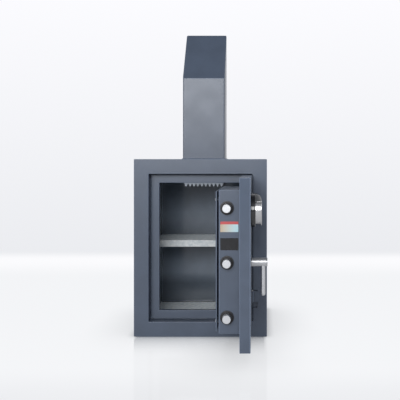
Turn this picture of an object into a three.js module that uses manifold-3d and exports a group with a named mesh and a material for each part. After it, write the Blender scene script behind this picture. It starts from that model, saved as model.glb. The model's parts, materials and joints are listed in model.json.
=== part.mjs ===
// Gooseneck safe: a steel safe with a tall slanted deposit neck, shown with its door open at 90 degrees.
// Millimetres, +Z up. The origin is the centre of the underside, the door side faces -Y.
import * as THREE from "three";
import { mergeVertices } from "three/addons/utils/BufferGeometryUtils.js";
import Module from "manifold-3d";

const wasm = await Module();
wasm.setup();

// Driving sizes: body
const bodyWidth = 457.2;
const bodyHeight = 609.6;
const bodyDepth = 406.4;
const wallThickness = 38.1;
const skinThickness = 4.8;
const linerThickness = 2;
const seam = 0.3;

// Driving sizes: door frame
const frameWidth = 50.8;
const jambLap = 31.75;
const jambThickness = 19.05;
const doorSeat = 1;

// Driving sizes: door slab
const doorThickness = 31.75;
const doorGap = 3.175;
const doorPlate = 6.35;
const doorInnerPlate = 3;
const doorAngleAtRest = Math.PI / 2;

// Driving sizes: neck
const neckWidth = 152.4;
const neckDepth = 127;
const neckSetback = 127;
const neckWall = 4;
const neckFrontRise = 294.6;
const neckSlantRise = 181.8;
const sleeveDrop = 40;

// Driving sizes: throat comb
const combThickness = 2;
const combTooth = 19;
const combPitch = 14.4;
const combBelowSleeve = 4;
const combStrip = 18;

// Driving sizes: deposit mouth, its flap and the baffle under it
const mouthWidth = 120;
const mouthHeight = 60;
const mouthBelowApex = 50;
const flapOverlap = 10;
const flapThickness = 3;
const flapStandoff = 1;
const flapBarrel = 5;
const flapPin = 2.5;
const flapLip = 14;
const flapEar = 20;
const flapBracketRise = 18;
const baffleBelowMouth = 15;
const baffleRun = 62;
const baffleFall = 60;
const baffleThickness = 3;

// Driving sizes: shelf
const shelfHeight = 307;
const shelfSetback = 189;
const shelfThickness = 2;
const shelfLip = 25;
const shelfSideGap = 0.6;
const bracketWidth = 20;
const bracketThickness = 2;
const bracketInset = 20;

// Driving sizes: door hinges
const hingeHeight = 37.7;
const hingeFromDoorEnds = 66.15;
const hingeBarrel = 6.5;
const hingePin = 3.5;
const hingePinHead = 5;
const hingePinHeadHeight = 2;
const hingeLeafWidth = 21;
const hingeLeafThickness = 3;
const knuckleGap = 0.4;
const pinClearance = 0.3;
const barrelRelief = 0.5;

// Driving sizes: boltwork housing on the inner side of the door
const housingDepth = 64;
const housingEndInset = 37.3;
const housingFreeInset = 67.425;
const housingHingeInset = 51.8;
const housingSheet = 2.5;
const coverStandoff = 6.5;
const coverThickness = 2.6;
const coverFreeInset = 6;
const coverSideInset = 5;
const coverSpacerRadius = 6;
const coverSpacerInset = 26;

// Driving sizes: round bolts, their bushes and their bar
const boltRadius = 12.7;
const boltRowDrop = 2.8;
const boltEndInset = 51.5;
const boltStandoff = 39;
const boltThrow = 30;
const boltChamfer = 2;
const boltGrooveAt = 9;
const boltGrooveWidth = 2;
const boltGrooveDepth = 0.8;
const boltSweepClearance = 3;
const bushFlangeRadius = 20.5;
const bushFlange = 3;
const bushBodyRadius = 17;
const bushBody = 9;
const runningGap = 0.4;
const barThickness = 8;
const barWidth = 22;
const barBehindBush = 5;
const barOverhang = 18;

// Driving sizes: lever handle, its shaft and crank
const handleFromBar = 16;
const handleBelowMiddle = 11.8;
const hubRadius = 13.5;
const hubLength = 50;
const leverLength = 102;
const leverCentreOut = 37;
const leverThinEnd = 8.8;
const leverThickEnd = 13.4;
const leverNarrowWidth = 18;
const leverWideWidth = 24;
const leverEndBevel = 3;
const hubEdge = 1.5;
const shaftRadius = 8;
const shaftInHub = 30;
const crankThickness = 6;
const crankBehindPlate = 20;
const crankPinRadius = 3;
const crankPinSlack = 0.9;
const armThickness = 5;
const armMargin = 7;

// Driving sizes: dial and lock
const dialAboveMiddle = 147.2;
const ringRadius = 51;
const ringThickness = 13;
const ringFloor = 2.4;
const dialRadius = 38;
const dialThickness = 6;
const dialKnobRadius = 19;
const dialKnobLength = 17;
const dialRunningGap = 0.8;
const shroudRadius = 45;
const shroudWall = 4;
const shroudDepth = 19.6;
const hoodChord = 27;
const dialSkirt = 4;
const dialEdge = 2;
const chamfer = 1;
const hoodReach = 17;
const hoodWall = 3;
const spindleRadius = 4;
const lockDepth = 24;
const lockWidth = 60;
const lockTall = 83;
const lockAboveSpindle = 33;
const lockBesideSpindle = 37;

// Driving sizes: dead bar on the hinge side
const deadBarThickness = 6;
const deadBarEndInset = 55.8;
const deadBarFromJamb = 6;
const deadBarBehindJamb = 6;
const deadBarFoot = 12;
const deadBarSweepClearance = 2;

// How far a joined piece runs into its neighbour, and a cutter past the face it cuts
const overlap = 1;

// Mesh fineness
const roundSides = 40;
const smallSides = 24;
const arcSteps = 6;

// Places worked out from the sizes
const halfWidth = bodyWidth / 2;
const frontY = -bodyDepth / 2;
const backY = bodyDepth / 2;
const openingHalf = halfWidth - frameWidth;
const openingBottom = frameWidth;
const openingTop = bodyHeight - frameWidth;
const clearHalf = openingHalf - jambLap;
const clearBottom = openingBottom + jambLap;
const clearTop = openingTop - jambLap;
const rebateDepth = doorThickness + doorSeat;
const jambBackY = frontY + rebateDepth + jambThickness;
const wallStartY = jambBackY + seam;
const roomHalf = halfWidth - wallThickness;
const roomBottom = wallThickness;
const roomTop = bodyHeight - wallThickness;
const roomBackY = backY - wallThickness;
const midHeight = bodyHeight / 2;

// Places in the door's own axes: x from the hinge axis, y from the outer face inwards, door closed
const doorHingeX = -doorGap;
const doorFreeX = -(2 * openingHalf - doorGap);
const doorBottom = openingBottom + doorGap;
const doorTop = openingTop - doorGap;
const housingFreeX = doorFreeX + housingFreeInset;
const housingHingeX = doorHingeX - housingHingeInset;
const housingBottom = doorBottom + housingEndInset;
const housingTop = doorTop - housingEndInset;
const housingBackY = doorThickness + housingDepth;
const boltY = doorThickness + boltStandoff;
const boltSpacing = (housingTop - housingBottom) / 2 - boltEndInset;
const boltHeights = [-boltSpacing, 0, boltSpacing].map((offset) => midHeight - boltRowDrop + offset);
const jambRearY = rebateDepth + jambThickness;
const jambFreeRadius = Math.hypot(2 * openingHalf - jambLap, rebateDepth);
const boltTipX = -Math.sqrt((jambFreeRadius - boltSweepClearance) ** 2 - (boltY + boltRadius) ** 2);
const bushInnerX = housingFreeX + bushBody;
const barFaceX = bushInnerX + barBehindBush + boltThrow;
const crankRadius = boltThrow / Math.SQRT2;
const barX = [barFaceX, barFaceX + barThickness];
const handleX = barX[1] + handleFromBar;
const handleHeight = midHeight - handleBelowMiddle;
const dialHeight = midHeight + dialAboveMiddle;

// Finishes
const paint = { color: 0x69717f, roughness: 0.38, metalness: 0.1 };
const finishes = {
  slate_paint: new THREE.MeshStandardMaterial(paint),
  black_plastic: new THREE.MeshStandardMaterial({ color: 0x16171a, roughness: 0.35, metalness: 0 }),
  black_bush: new THREE.MeshStandardMaterial({ color: 0x1d1f22, roughness: 0.6, metalness: 0.2 }),
  satin_chrome: new THREE.MeshStandardMaterial({ color: 0xd6d8da, roughness: 0.18, metalness: 1 }),
  bright_steel: new THREE.MeshStandardMaterial({ color: 0xc9ccd0, roughness: 0.25, metalness: 1 }),
  bare_steel: new THREE.MeshStandardMaterial({ color: 0xa9b0ba, roughness: 0.4, metalness: 0.9 }),
  zinc_sheet: new THREE.MeshStandardMaterial({ color: 0xa9abad, roughness: 0.45, metalness: 0.7 }),
  fire_fill: new THREE.MeshStandardMaterial({ color: 0xb7b1a4, roughness: 0.95, metalness: 0 }),
};

const safe = new THREE.Group();
const door = new THREE.Group();
door.position.set(openingHalf, frontY, 0);
door.rotation.z = doorAngleAtRest;
safe.add(door);

// Turns a closed three.js geometry into a solid that can be cut and joined, faces pointing out.
function solid(geometry) {
  const bare = geometry.clone();
  bare.deleteAttribute("normal");
  bare.deleteAttribute("uv");
  const merged = mergeVertices(bare, 1e-5);
  const triangles = new Uint32Array(merged.index.array);
  const points = merged.attributes.position;
  const corner = [new THREE.Vector3(), new THREE.Vector3(), new THREE.Vector3()];
  let volume = 0;
  for (let i = 0; i < triangles.length; i += 3) {
    corner.forEach((point, k) => point.fromBufferAttribute(points, triangles[i + k]));
    volume += corner[0].dot(corner[1].cross(corner[2]));
  }
  return new wasm.Manifold(new wasm.Mesh({
    numProp: 3,
    vertProperties: new Float32Array(points.array),
    triVerts: volume < 0 ? triangles.reverse() : triangles,
  }));
}

// Turns a solid back into a three.js geometry.
function geometryOf(body) {
  const mesh = body.getMesh();
  const geometry = new THREE.BufferGeometry();
  geometry.setAttribute("position", new THREE.BufferAttribute(mesh.vertProperties, 3));
  geometry.setIndex(new THREE.BufferAttribute(mesh.triVerts, 1));
  geometry.computeVertexNormals();
  return geometry;
}

function addPart(group, name, body, finish) {
  const mesh = new THREE.Mesh(geometryOf(body), finishes[finish]);
  mesh.name = name;
  group.add(mesh);
}

// A box between two corners on each axis.
function block(x, y, z) {
  const geometry = new THREE.BoxGeometry(x[1] - x[0], y[1] - y[0], z[1] - z[0]);
  geometry.translate((x[0] + x[1]) / 2, (y[0] + y[1]) / 2, (z[0] + z[1]) / 2);
  return solid(geometry);
}

// A round bar along one axis: along holds its two ends, at the other two coordinates in order.
function rod(axis, radius, along, at, sides = roundSides) {
  const geometry = new THREE.CylinderGeometry(radius, radius, along[1] - along[0], sides);
  const middle = (along[0] + along[1]) / 2;
  if (axis === "x") {
    geometry.rotateZ(Math.PI / 2);
    geometry.translate(middle, at[0], at[1]);
  } else if (axis === "y") {
    geometry.translate(at[0], middle, at[1]);
  } else {
    geometry.rotateX(Math.PI / 2);
    geometry.translate(at[0], at[1], middle);
  }
  return solid(geometry);
}

// A flat outline of [y, z] points carried along X.
function prismAlongX(outline, x) {
  const shape = new THREE.Shape(outline.map(([y, z]) => new THREE.Vector2(y, z)));
  const geometry = new THREE.ExtrudeGeometry(shape, { depth: x[1] - x[0], bevelEnabled: false });
  geometry.applyMatrix4(new THREE.Matrix4().set(0, 0, 1, x[0], 1, 0, 0, 0, 0, 1, 0, 0, 0, 0, 0, 1));
  return solid(geometry);
}

// A flat outline of [x, z] points carried along Y.
function prismAlongY(outline, y) {
  const shape = new THREE.Shape(outline.map(([x, z]) => new THREE.Vector2(x, z)));
  const geometry = new THREE.ExtrudeGeometry(shape, { depth: y[1] - y[0], bevelEnabled: false });
  geometry.applyMatrix4(new THREE.Matrix4().set(1, 0, 0, 0, 0, 0, -1, y[1], 0, 1, 0, 0, 0, 0, 0, 1));
  return solid(geometry);
}

// A profile of [radius, distance] points turned round an axis that runs outwards (-Y) from the door face.
function turnedOutwards(profile, x, z, sides = roundSides) {
  const points = profile.map(([radius, out]) => new THREE.Vector2(radius, out));
  const geometry = new THREE.LatheGeometry(points, sides);
  geometry.rotateX(Math.PI);
  geometry.translate(x, 0, z);
  return solid(geometry);
}

// Both signs of a half width, as a pair of ends.
function across(half) {
  return [-half, half];
}

// Body skins: the two sides run full height, the top, bottom and back sit between them.
function addSkins() {
  const y = [wallStartY, backY];
  const inner = halfWidth - skinThickness;
  const neckHole = neckPassage(seam, [bodyHeight - wallThickness, bodyHeight + seam]);
  addPart(safe, "outer_left_skin", block([-halfWidth, -inner], y, [0, bodyHeight]), "slate_paint");
  addPart(safe, "outer_right_skin", block([inner, halfWidth], y, [0, bodyHeight]), "slate_paint");
  const topZ = [bodyHeight - skinThickness, bodyHeight];
  const top = block(across(inner - seam), y, topZ).subtract(neckHole);
  addPart(safe, "outer_top_skin", top, "slate_paint");
  addPart(safe, "outer_bottom_skin", block(across(inner - seam), y, [0, skinThickness]), "slate_paint");
  const backZ = [skinThickness + seam, bodyHeight - skinThickness - seam];
  const back = block(across(inner - seam), [backY - skinThickness, backY], backZ);
  addPart(safe, "outer_back_skin", back, "slate_paint");
}

// The space that the neck takes up where it passes through the top wall, grown by a gap.
function neckPassage(grow, z) {
  const y = [neckFrontY() - grow, neckBackY() + grow];
  return block(across(neckWidth / 2 + grow), y, z);
}

function neckFrontY() {
  return frontY + neckSetback;
}

function neckBackY() {
  return neckFrontY() + neckDepth;
}

// Front frame: stepped bars whose outer part surrounds the door and whose inner part is its jamb.
function addFrontFrame() {
  const y = [frontY, jambBackY];
  const jambY = [frontY + rebateDepth, jambBackY];
  for (const [name, side] of [["left", -1], ["right", 1]]) {
    const outerX = side < 0 ? [-halfWidth, -openingHalf] : [openingHalf, halfWidth];
    const jambX = side < 0 ? [-openingHalf - overlap, -clearHalf] : [clearHalf, openingHalf + overlap];
    let stile = block(outerX, y, [0, bodyHeight]);
    stile = stile.add(block(jambX, jambY, [openingBottom + seam, openingTop - seam]));
    if (side > 0) {
      stile = stile.subtract(hingeReliefs(openingHalf, frontY));
    }
    addPart(safe, `front_stile_${name}`, stile, "slate_paint");
  }
  const railX = across(openingHalf - seam);
  const jambX = across(clearHalf - seam);
  const sillJamb = block(jambX, jambY, [openingBottom - overlap, clearBottom]);
  const sill = block(railX, y, [0, openingBottom]).add(sillJamb);
  addPart(safe, "front_sill", sill, "slate_paint");
  const headerJamb = block(jambX, jambY, [clearTop, openingTop + overlap]);
  const header = block(railX, y, [openingTop, bodyHeight]).add(headerJamb);
  addPart(safe, "front_header", header, "slate_paint");
}

// Painted steel liner of the room, and the fill cast between it and the skins.
function addLinerAndFill() {
  const y = [wallStartY, roomBackY + linerThickness];
  const z = [roomBottom - linerThickness, roomTop + linerThickness];
  const betweenSides = across(roomHalf - seam);
  const neckHole = neckPassage(seam, [roomTop - seam, bodyHeight]);
  addPart(safe, "liner_left", block([-roomHalf - linerThickness, -roomHalf], y, z), "slate_paint");
  addPart(safe, "liner_right", block([roomHalf, roomHalf + linerThickness], y, z), "slate_paint");
  addPart(safe, "liner_bottom", block(betweenSides, y, [z[0], roomBottom]), "slate_paint");
  const top = block(betweenSides, y, [roomTop, z[1]]).subtract(neckHole);
  addPart(safe, "liner_top", top, "slate_paint");
  const backZ = [roomBottom + seam, roomTop - seam];
  addPart(safe, "liner_back", block(betweenSides, [roomBackY, y[1]], backZ), "slate_paint");

  const fillHalf = halfWidth - skinThickness - seam;
  const fillZ = [skinThickness + seam, bodyHeight - skinThickness - seam];
  const inside = block(
    across(roomHalf + linerThickness + seam),
    [wallStartY - overlap, y[1] + seam],
    [z[0] - seam, z[1] + seam],
  );
  const fill = block(across(fillHalf), [wallStartY, backY - skinThickness - seam], fillZ)
    .subtract(inside)
    .subtract(neckPassage(seam, [roomTop, bodyHeight]));
  addPart(safe, "fire_fill", fill, "fire_fill");
}

// Neck: four plates and a slanted cap. Everything below the cap ends on a plane parallel to the slant.
function addNeck() {
  const front = neckFrontY();
  const back = neckBackY();
  const sleeveZ = roomTop - sleeveDrop;
  const bendZ = bodyHeight + neckFrontRise;
  const apexZ = bendZ + neckSlantRise;
  const half = neckWidth / 2;
  const steepness = Math.hypot(neckDepth, neckSlantRise) / neckDepth;
  const slope = neckSlantRise / neckDepth;
  const drop = neckWall * steepness;
  const capDrop = drop + seam * steepness;
  const side = (lower) => [[front, sleeveZ], [back, sleeveZ], [back, apexZ - lower], [front, bendZ - lower]];
  const allX = across(half);
  const below = prismAlongX(side(capDrop), across(half));
  const wide = [sleeveZ - overlap, apexZ + overlap];
  const insideX = half - neckWall;
  const betweenY = [front + neckWall + seam, back - neckWall - seam];

  const cap = prismAlongX(side(0), allX).subtract(prismAlongX([
    [front - overlap, sleeveZ - overlap],
    [back + overlap, sleeveZ - overlap],
    [back + overlap, apexZ - drop + slope * overlap],
    [front - overlap, bendZ - drop - slope * overlap],
  ], across(half + overlap)));
  addPart(safe, "neck_slant_cap", cap, "slate_paint");
  const frontPlate = below.intersect(block(allX, [front - overlap, front + neckWall], wide));
  addPart(safe, "neck_front_plate", frontPlate, "slate_paint");
  const mouthZ = mouthSpan();
  const backPlate = below
    .intersect(block(allX, [back - neckWall, back + overlap], wide))
    .subtract(block(across(mouthWidth / 2), [back - 2 * neckWall, back + neckWall], mouthZ));
  addPart(safe, "neck_back_plate", backPlate, "slate_paint");
  const leftPlate = below.intersect(block([-half - overlap, -insideX], betweenY, wide));
  addPart(safe, "neck_left_plate", leftPlate, "slate_paint");
  const rightPlate = below.intersect(block([insideX, half + overlap], betweenY, wide));
  addPart(safe, "neck_right_plate", rightPlate, "slate_paint");

  const baffleTopY = back - neckWall - seam;
  const baffleTopZ = mouthZ[0] - baffleBelowMouth;
  const baffle = prismAlongX([
    [baffleTopY, baffleTopZ],
    [baffleTopY, baffleTopZ + baffleThickness],
    [baffleTopY - baffleRun, baffleTopZ + baffleThickness - baffleFall],
    [baffleTopY - baffleRun, baffleTopZ - baffleFall],
  ], across(insideX - seam));
  addPart(safe, "neck_baffle", baffle, "bare_steel");
}

// Heights of the lower and upper edge of the deposit mouth.
function mouthSpan() {
  const top = bodyHeight + neckFrontRise + neckSlantRise - mouthBelowApex;
  return [top - mouthHeight, top];
}

// One toothed strip: a strip with a saw edge below, half teeth at both ends, lying flat in the XZ plane.
function combOutline(length) {
  const teeth = Math.max(1, Math.round(length / combPitch));
  const pitch = length / teeth;
  const rootZ = roomTop - sleeveDrop - combBelowSleeve;
  const outline = [[length / 2, rootZ + combStrip], [-length / 2, rootZ + combStrip]];
  for (let i = 0; i < teeth; i += 1) {
    outline.push([-length / 2 + i * pitch, rootZ - combTooth]);
    outline.push([-length / 2 + (i + 0.5) * pitch, rootZ]);
  }
  outline.push([length / 2, rootZ - combTooth]);
  return outline;
}

// Throat comb: toothed strips fastened inside the lower rim of the neck sleeve.
function addComb() {
  const half = neckWidth / 2 - neckWall - seam;
  const frontFace = neckFrontY() + neckWall + seam;
  const backFace = neckBackY() - neckWall - seam;
  const wide = combOutline(2 * half);
  const frontStrip = [frontFace, frontFace + combThickness];
  const backStrip = [backFace - combThickness, backFace];
  addPart(safe, "throat_comb_front", prismAlongY(wide, frontStrip), "bare_steel");
  addPart(safe, "throat_comb_back", prismAlongY(wide, backStrip), "bare_steel");
  const sideLength = backStrip[0] - frontStrip[1] - 2 * seam;
  const middleY = (backStrip[0] + frontStrip[1]) / 2;
  const sideOutline = combOutline(sideLength).map(([along, z]) => [along + middleY, z]).reverse();
  addPart(safe, "throat_comb_left", prismAlongX(sideOutline, [-half, -half + combThickness]), "bare_steel");
  addPart(safe, "throat_comb_right", prismAlongX(sideOutline, [half - combThickness, half]), "bare_steel");
}

// Deposit flap on the back of the neck: a plate with a barrel on top, turning on a pin between two ears.
function addFlap() {
  const [mouthBottom, mouthTop] = mouthSpan();
  const face = neckBackY();
  const axisY = face + flapStandoff + flapBarrel;
  const axisZ = mouthTop + flapOverlap + flapBarrel;
  const half = mouthWidth / 2 + flapOverlap;
  const barrelX = across(half - flapEar);
  const plateY = [face + flapStandoff, face + flapStandoff + flapThickness];
  const pinHole = rod("x", flapPin + pinClearance, across(half + overlap), [axisY, axisZ], smallSides);

  const flap = block(across(half), plateY, [mouthBottom - flapOverlap, axisZ - flapBarrel - knuckleGap])
    .add(block(barrelX, plateY, [axisZ - 2 * flapBarrel, axisZ]))
    .add(rod("x", flapBarrel, barrelX, [axisY, axisZ], smallSides))
    .add(block(across(half), [plateY[0], plateY[1] + flapLip], [
      mouthBottom - flapOverlap,
      mouthBottom - flapOverlap + flapThickness,
    ]))
    .subtract(pinHole);
  addPart(safe, "deposit_flap", flap, "slate_paint");

  const bracketFace = [face + seam, face + seam + flapThickness];
  const ears = [[-half, barrelX[0] - knuckleGap], [barrelX[1] + knuckleGap, half]];
  const bracketTop = axisZ + flapBracketRise;
  let bracket = block(across(half), bracketFace, [axisZ + flapBarrel + barrelRelief, bracketTop]);
  for (const ear of ears) {
    bracket = bracket
      .add(block(ear, bracketFace, [axisZ, bracketTop]))
      .add(block(ear, [bracketFace[0], axisY], [axisZ - flapThickness / 2, axisZ + flapBarrel]))
      .add(rod("x", flapBarrel, ear, [axisY, axisZ], smallSides));
  }
  addPart(safe, "flap_hinge_bracket", bracket.subtract(pinHole), "slate_paint");
  const pin = rod("x", flapPin, across(half), [axisY, axisZ], smallSides);
  addPart(safe, "flap_hinge_pin", pin, "bright_steel");
}

// Shelf with a front lip turned down, carried by an angle bracket on each side of the room.
function addShelf() {
  const y = [frontY + shelfSetback, roomBackY - seam];
  const x = across(roomHalf - shelfSideGap);
  const shelf = block(x, y, [shelfHeight - shelfThickness, shelfHeight])
    .add(block(x, [y[0], y[0] + shelfThickness], [shelfHeight - shelfLip, shelfHeight]));
  addPart(safe, "shelf", shelf, "zinc_sheet");
  const top = shelfHeight - shelfThickness - seam;
  const bracketY = [y[0] + bracketInset, y[1] - bracketInset];
  for (const [name, side] of [["left", -1], ["right", 1]]) {
    const wall = side * (roomHalf - seam);
    const span = (a, b) => [Math.min(side * a, side * b), Math.max(side * a, side * b)];
    const flat = span(Math.abs(wall), Math.abs(wall) - bracketWidth);
    const upright = span(Math.abs(wall), Math.abs(wall) - bracketThickness);
    const bracket = block(flat, bracketY, [top - bracketThickness, top])
      .add(block(upright, bracketY, [top - bracketWidth, top]));
    addPart(safe, `shelf_bracket_${name}`, bracket, "slate_paint");
  }
}

// Heights of the two door hinges' lower ends.
function hingeBottoms() {
  return [doorBottom + hingeFromDoorEnds, doorTop - hingeFromDoorEnds - hingeHeight];
}

// Round reliefs that let the hinge barrels sit in a corner whose edge is the hinge axis at (x, y).
function hingeReliefs(x, y) {
  const reach = hingePinHeadHeight + 2 * knuckleGap;
  const [lower, upper] = hingeBottoms().map((z) => (
    rod("z", hingeBarrel + barrelRelief, [z - reach, z + hingeHeight + reach], [x, y], smallSides)
  ));
  return lower.add(upper);
}

// Door hinges: the frame leaf has the end knuckles, the door leaf the middle one.
function addHinges() {
  const knuckle = (hingeHeight - 2 * knuckleGap) / 3;
  const leafY = [-seam - hingeLeafThickness, -seam];
  for (const [name, z0] of [["lower", hingeBottoms()[0]], ["upper", hingeBottoms()[1]]]) {
    const z1 = z0 + hingeHeight;
    const middle = [z0 + knuckle + knuckleGap, z1 - knuckle - knuckleGap];
    const ends = [[z0, z0 + knuckle], [z1 - knuckle, z1]];
    const bore = rod("z", hingePin + pinClearance, [z0 - overlap, z1 + overlap], [0, 0], smallSides);
    const clear = hingeBarrel + barrelRelief;
    const reliefZ = [middle[0] - knuckleGap, middle[1] + knuckleGap];
    const middleRelief = rod("z", clear, reliefZ, [0, 0], smallSides);

    let frameLeaf = block([0, hingeLeafWidth], leafY, [z0, z1]).subtract(middleRelief);
    for (const end of ends) {
      frameLeaf = frameLeaf.add(rod("z", hingeBarrel, end, [0, 0], smallSides));
    }
    const frameMesh = frameLeaf.subtract(bore).translate([openingHalf, frontY, 0]);
    addPart(safe, `hinge_frame_leaf_${name}`, frameMesh, "slate_paint");

    let doorLeaf = block([-hingeLeafWidth, 0], leafY, [z0, z1]);
    for (const end of ends) {
      const relief = [end[0] - knuckleGap, end[1] + knuckleGap];
      doorLeaf = doorLeaf.subtract(rod("z", clear, relief, [0, 0], smallSides));
    }
    doorLeaf = doorLeaf.add(rod("z", hingeBarrel, middle, [0, 0], smallSides)).subtract(bore);
    addPart(door, `hinge_door_leaf_${name}`, doorLeaf, "slate_paint");

    const headZ = z1 + knuckleGap;
    const pin = rod("z", hingePin, [z0 - hingePinHeadHeight, headZ], [0, 0], smallSides)
      .add(rod("z", hingePinHead, [headZ, headZ + hingePinHeadHeight], [0, 0], smallSides))
      .translate([openingHalf, frontY, 0]);
    addPart(safe, `hinge_pin_${name}`, pin, "bright_steel");
  }
}

// Door slab: a pan with a folded edge, its fill and the inner plate, bored for the handle and the dial.
function addDoorSlab() {
  const x = [doorFreeX, doorHingeX];
  const z = [doorBottom, doorTop];
  const inset = (span, by) => [span[0] + by, span[1] - by];
  const through = [-overlap, doorThickness + overlap];
  const bores = rod("y", shaftRadius + runningGap, through, [handleX, handleHeight], smallSides)
    .add(rod("y", spindleRadius + runningGap, through, [handleX, dialHeight], smallSides));
  const pan = block(x, [0, doorThickness], z)
    .subtract(block(inset(x, doorPlate), [doorPlate, doorThickness + overlap], inset(z, doorPlate)))
    .subtract(hingeReliefs(0, 0))
    .subtract(bores);
  addPart(door, "door_pan", pan, "slate_paint");
  const plateY = [doorThickness - doorInnerPlate, doorThickness];
  const insideX = inset(x, doorPlate + seam);
  const insideZ = inset(z, doorPlate + seam);
  const fill = block(insideX, [doorPlate + seam, plateY[0] - seam], insideZ)
    .subtract(hingeReliefs(0, 0))
    .subtract(bores);
  addPart(door, "door_fire_fill", fill, "fire_fill");
  const plate = block(insideX, plateY, insideZ).subtract(bores);
  addPart(door, "door_inner_plate", plate, "slate_paint");
}

// Boltwork housing: a folded box open towards the door, with the plate that stands off behind it.
function addHousing() {
  const x = [housingFreeX, housingHingeX];
  const y = [doorThickness + seam, housingBackY];
  const z = [housingBottom, housingTop];
  let housing = block(x, y, z).subtract(block(
    [x[0] + housingSheet, x[1] - housingSheet],
    [y[0] - overlap, y[1] - housingSheet],
    [z[0] + housingSheet, z[1] - housingSheet],
  ));
  for (const height of boltHeights) {
    const through = [x[0] - overlap, x[0] + housingSheet + overlap];
    housing = housing.subtract(rod("x", bushBodyRadius + seam, through, [boltY, height]));
  }
  addPart(door, "boltwork_housing", housing, "slate_paint");

  const coverX = [x[0] + coverFreeInset, x[1] - coverSideInset];
  const coverZ = [z[0] + coverSideInset, z[1] - coverSideInset];
  const coverY = [housingBackY + coverStandoff, housingBackY + coverStandoff + coverThickness];
  let cover = block(coverX, coverY, coverZ);
  for (const sx of [coverX[0] + coverSpacerInset, coverX[1] - coverSpacerInset]) {
    for (const sz of [coverZ[0] + coverSpacerInset, coverZ[1] - coverSpacerInset]) {
      const spacerY = [housingBackY + seam, coverY[0] + overlap];
      cover = cover.add(rod("y", coverSpacerRadius, spacerY, [sx, sz], smallSides));
    }
  }
  addPart(door, "housing_cover_plate", cover, "slate_paint");
}

// Round bolts with their bushes, and the bar that carries them, with the slotted arm for the crank pin.
function addBoltwork() {
  const names = ["lower", "middle", "upper"];
  names.forEach((name, i) => {
    const at = [boltY, boltHeights[i]];
    const flange = [housingFreeX - seam - bushFlange, housingFreeX - seam];
    const bush = rod("x", bushFlangeRadius, flange, at)
      .add(rod("x", bushBodyRadius, [flange[1] - overlap, bushInnerX], at))
      .subtract(rod("x", boltRadius + runningGap, [flange[0] - overlap, bushInnerX + overlap], at));
    addPart(door, `bolt_bush_${name}`, bush, "black_bush");

    const length = barFaceX - seam - boltTipX;
    const grooveFloor = boltRadius - boltGrooveDepth;
    const profile = [
      [0, 0],
      [boltRadius - boltChamfer, 0],
      [boltRadius, boltChamfer],
      [boltRadius, boltGrooveAt],
      [grooveFloor, boltGrooveAt],
      [grooveFloor, boltGrooveAt + boltGrooveWidth],
      [boltRadius, boltGrooveAt + boltGrooveWidth],
      [boltRadius, length],
      [0, length],
    ].map(([radius, along]) => new THREE.Vector2(radius, along));
    const bolt = new THREE.LatheGeometry(profile, roundSides);
    bolt.rotateZ(-Math.PI / 2);
    bolt.translate(boltTipX, at[0], at[1]);
    addPart(door, `bolt_${name}`, solid(bolt), "bright_steel");
  });

  const barY = [boltY - boltRadius + seam, boltY - boltRadius + seam + barWidth];
  const barZ = [boltHeights[0] - barOverhang, boltHeights[2] + barOverhang];
  const halfSlot = crankPinRadius + crankPinSlack;
  const pinX = handleX + crankRadius * Math.SQRT1_2;
  const slotZ = [
    handleHeight + crankRadius * Math.SQRT1_2 - halfSlot,
    handleHeight + crankRadius + halfSlot,
  ];
  const armX = [barX[1] - overlap, pinX + halfSlot + armMargin];
  const arm = block(armX, armSpan(), [slotZ[0] - armMargin, slotZ[1] + armMargin])
    .subtract(block([pinX - halfSlot, pinX + halfSlot], [boltY - barWidth, boltY + barWidth], slotZ));
  addPart(door, "bolt_bar", block(barX, barY, barZ).add(arm), "bare_steel");
}

// Depths of the near and far side of the bolt bar's slotted arm.
function armSpan() {
  return [boltY - armThickness / 2, boltY + armThickness / 2];
}

// Lever handle on its hub outside, and the shaft with the crank that moves the bolt bar inside.
function addHandle() {
  const at = [handleX, handleHeight];
  const hub = turnedOutwards([
    [0, seam],
    [hubRadius - hubEdge, seam],
    [hubRadius, seam + hubEdge],
    [hubRadius, hubLength - hubEdge],
    [hubRadius - hubEdge, hubLength],
    [0, hubLength],
  ], at[0], at[1]);
  const lever = prismAlongX([
    [-leverCentreOut - leverThinEnd / 2, 0],
    [-leverCentreOut + leverThinEnd / 2, 0],
    [-leverCentreOut + leverThickEnd / 2, -leverLength + leverEndBevel],
    [-leverCentreOut + leverThickEnd / 2 - leverEndBevel, -leverLength],
    [-leverCentreOut - leverThickEnd / 2 + leverEndBevel, -leverLength],
    [-leverCentreOut - leverThickEnd / 2, -leverLength + leverEndBevel],
  ], across(leverWideWidth));
  const taper = prismAlongY([
    [-leverNarrowWidth / 2, 0],
    [-leverWideWidth / 2, -leverLength + leverWideWidth / 3],
    [-leverWideWidth / 3, -leverLength],
    [leverWideWidth / 3, -leverLength],
    [leverWideWidth / 2, -leverLength + leverWideWidth / 3],
    [leverNarrowWidth / 2, 0],
  ], [-hubLength, 0]);
  const bore = rod("y", shaftRadius + seam, [-shaftInHub - seam, overlap], at, smallSides);
  const handle = lever.intersect(taper).translate([at[0], 0, at[1]]).add(hub).subtract(bore);
  addPart(door, "lever_handle", handle, "bright_steel");

  const crankY = [doorThickness + crankBehindPlate, doorThickness + crankBehindPlate + crankThickness];
  const offset = crankRadius * Math.SQRT1_2;
  const pinAt = [at[0] + offset, at[1] + offset];
  const webWidth = shaftRadius;
  const web = block([0, crankRadius], crankY, [-webWidth, webWidth])
    .rotate([0, -45, 0])
    .translate([at[0], 0, at[1]]);
  const shaft = rod("y", shaftRadius, [-shaftInHub, crankY[1]], at, smallSides)
    .add(web)
    .add(rod("y", webWidth, crankY, pinAt, smallSides))
    .add(rod("y", crankPinRadius, [crankY[0], armSpan()[1] + crankPinRadius], pinAt, smallSides));
  addPart(door, "handle_shaft", shaft, "bare_steel");
}

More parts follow.
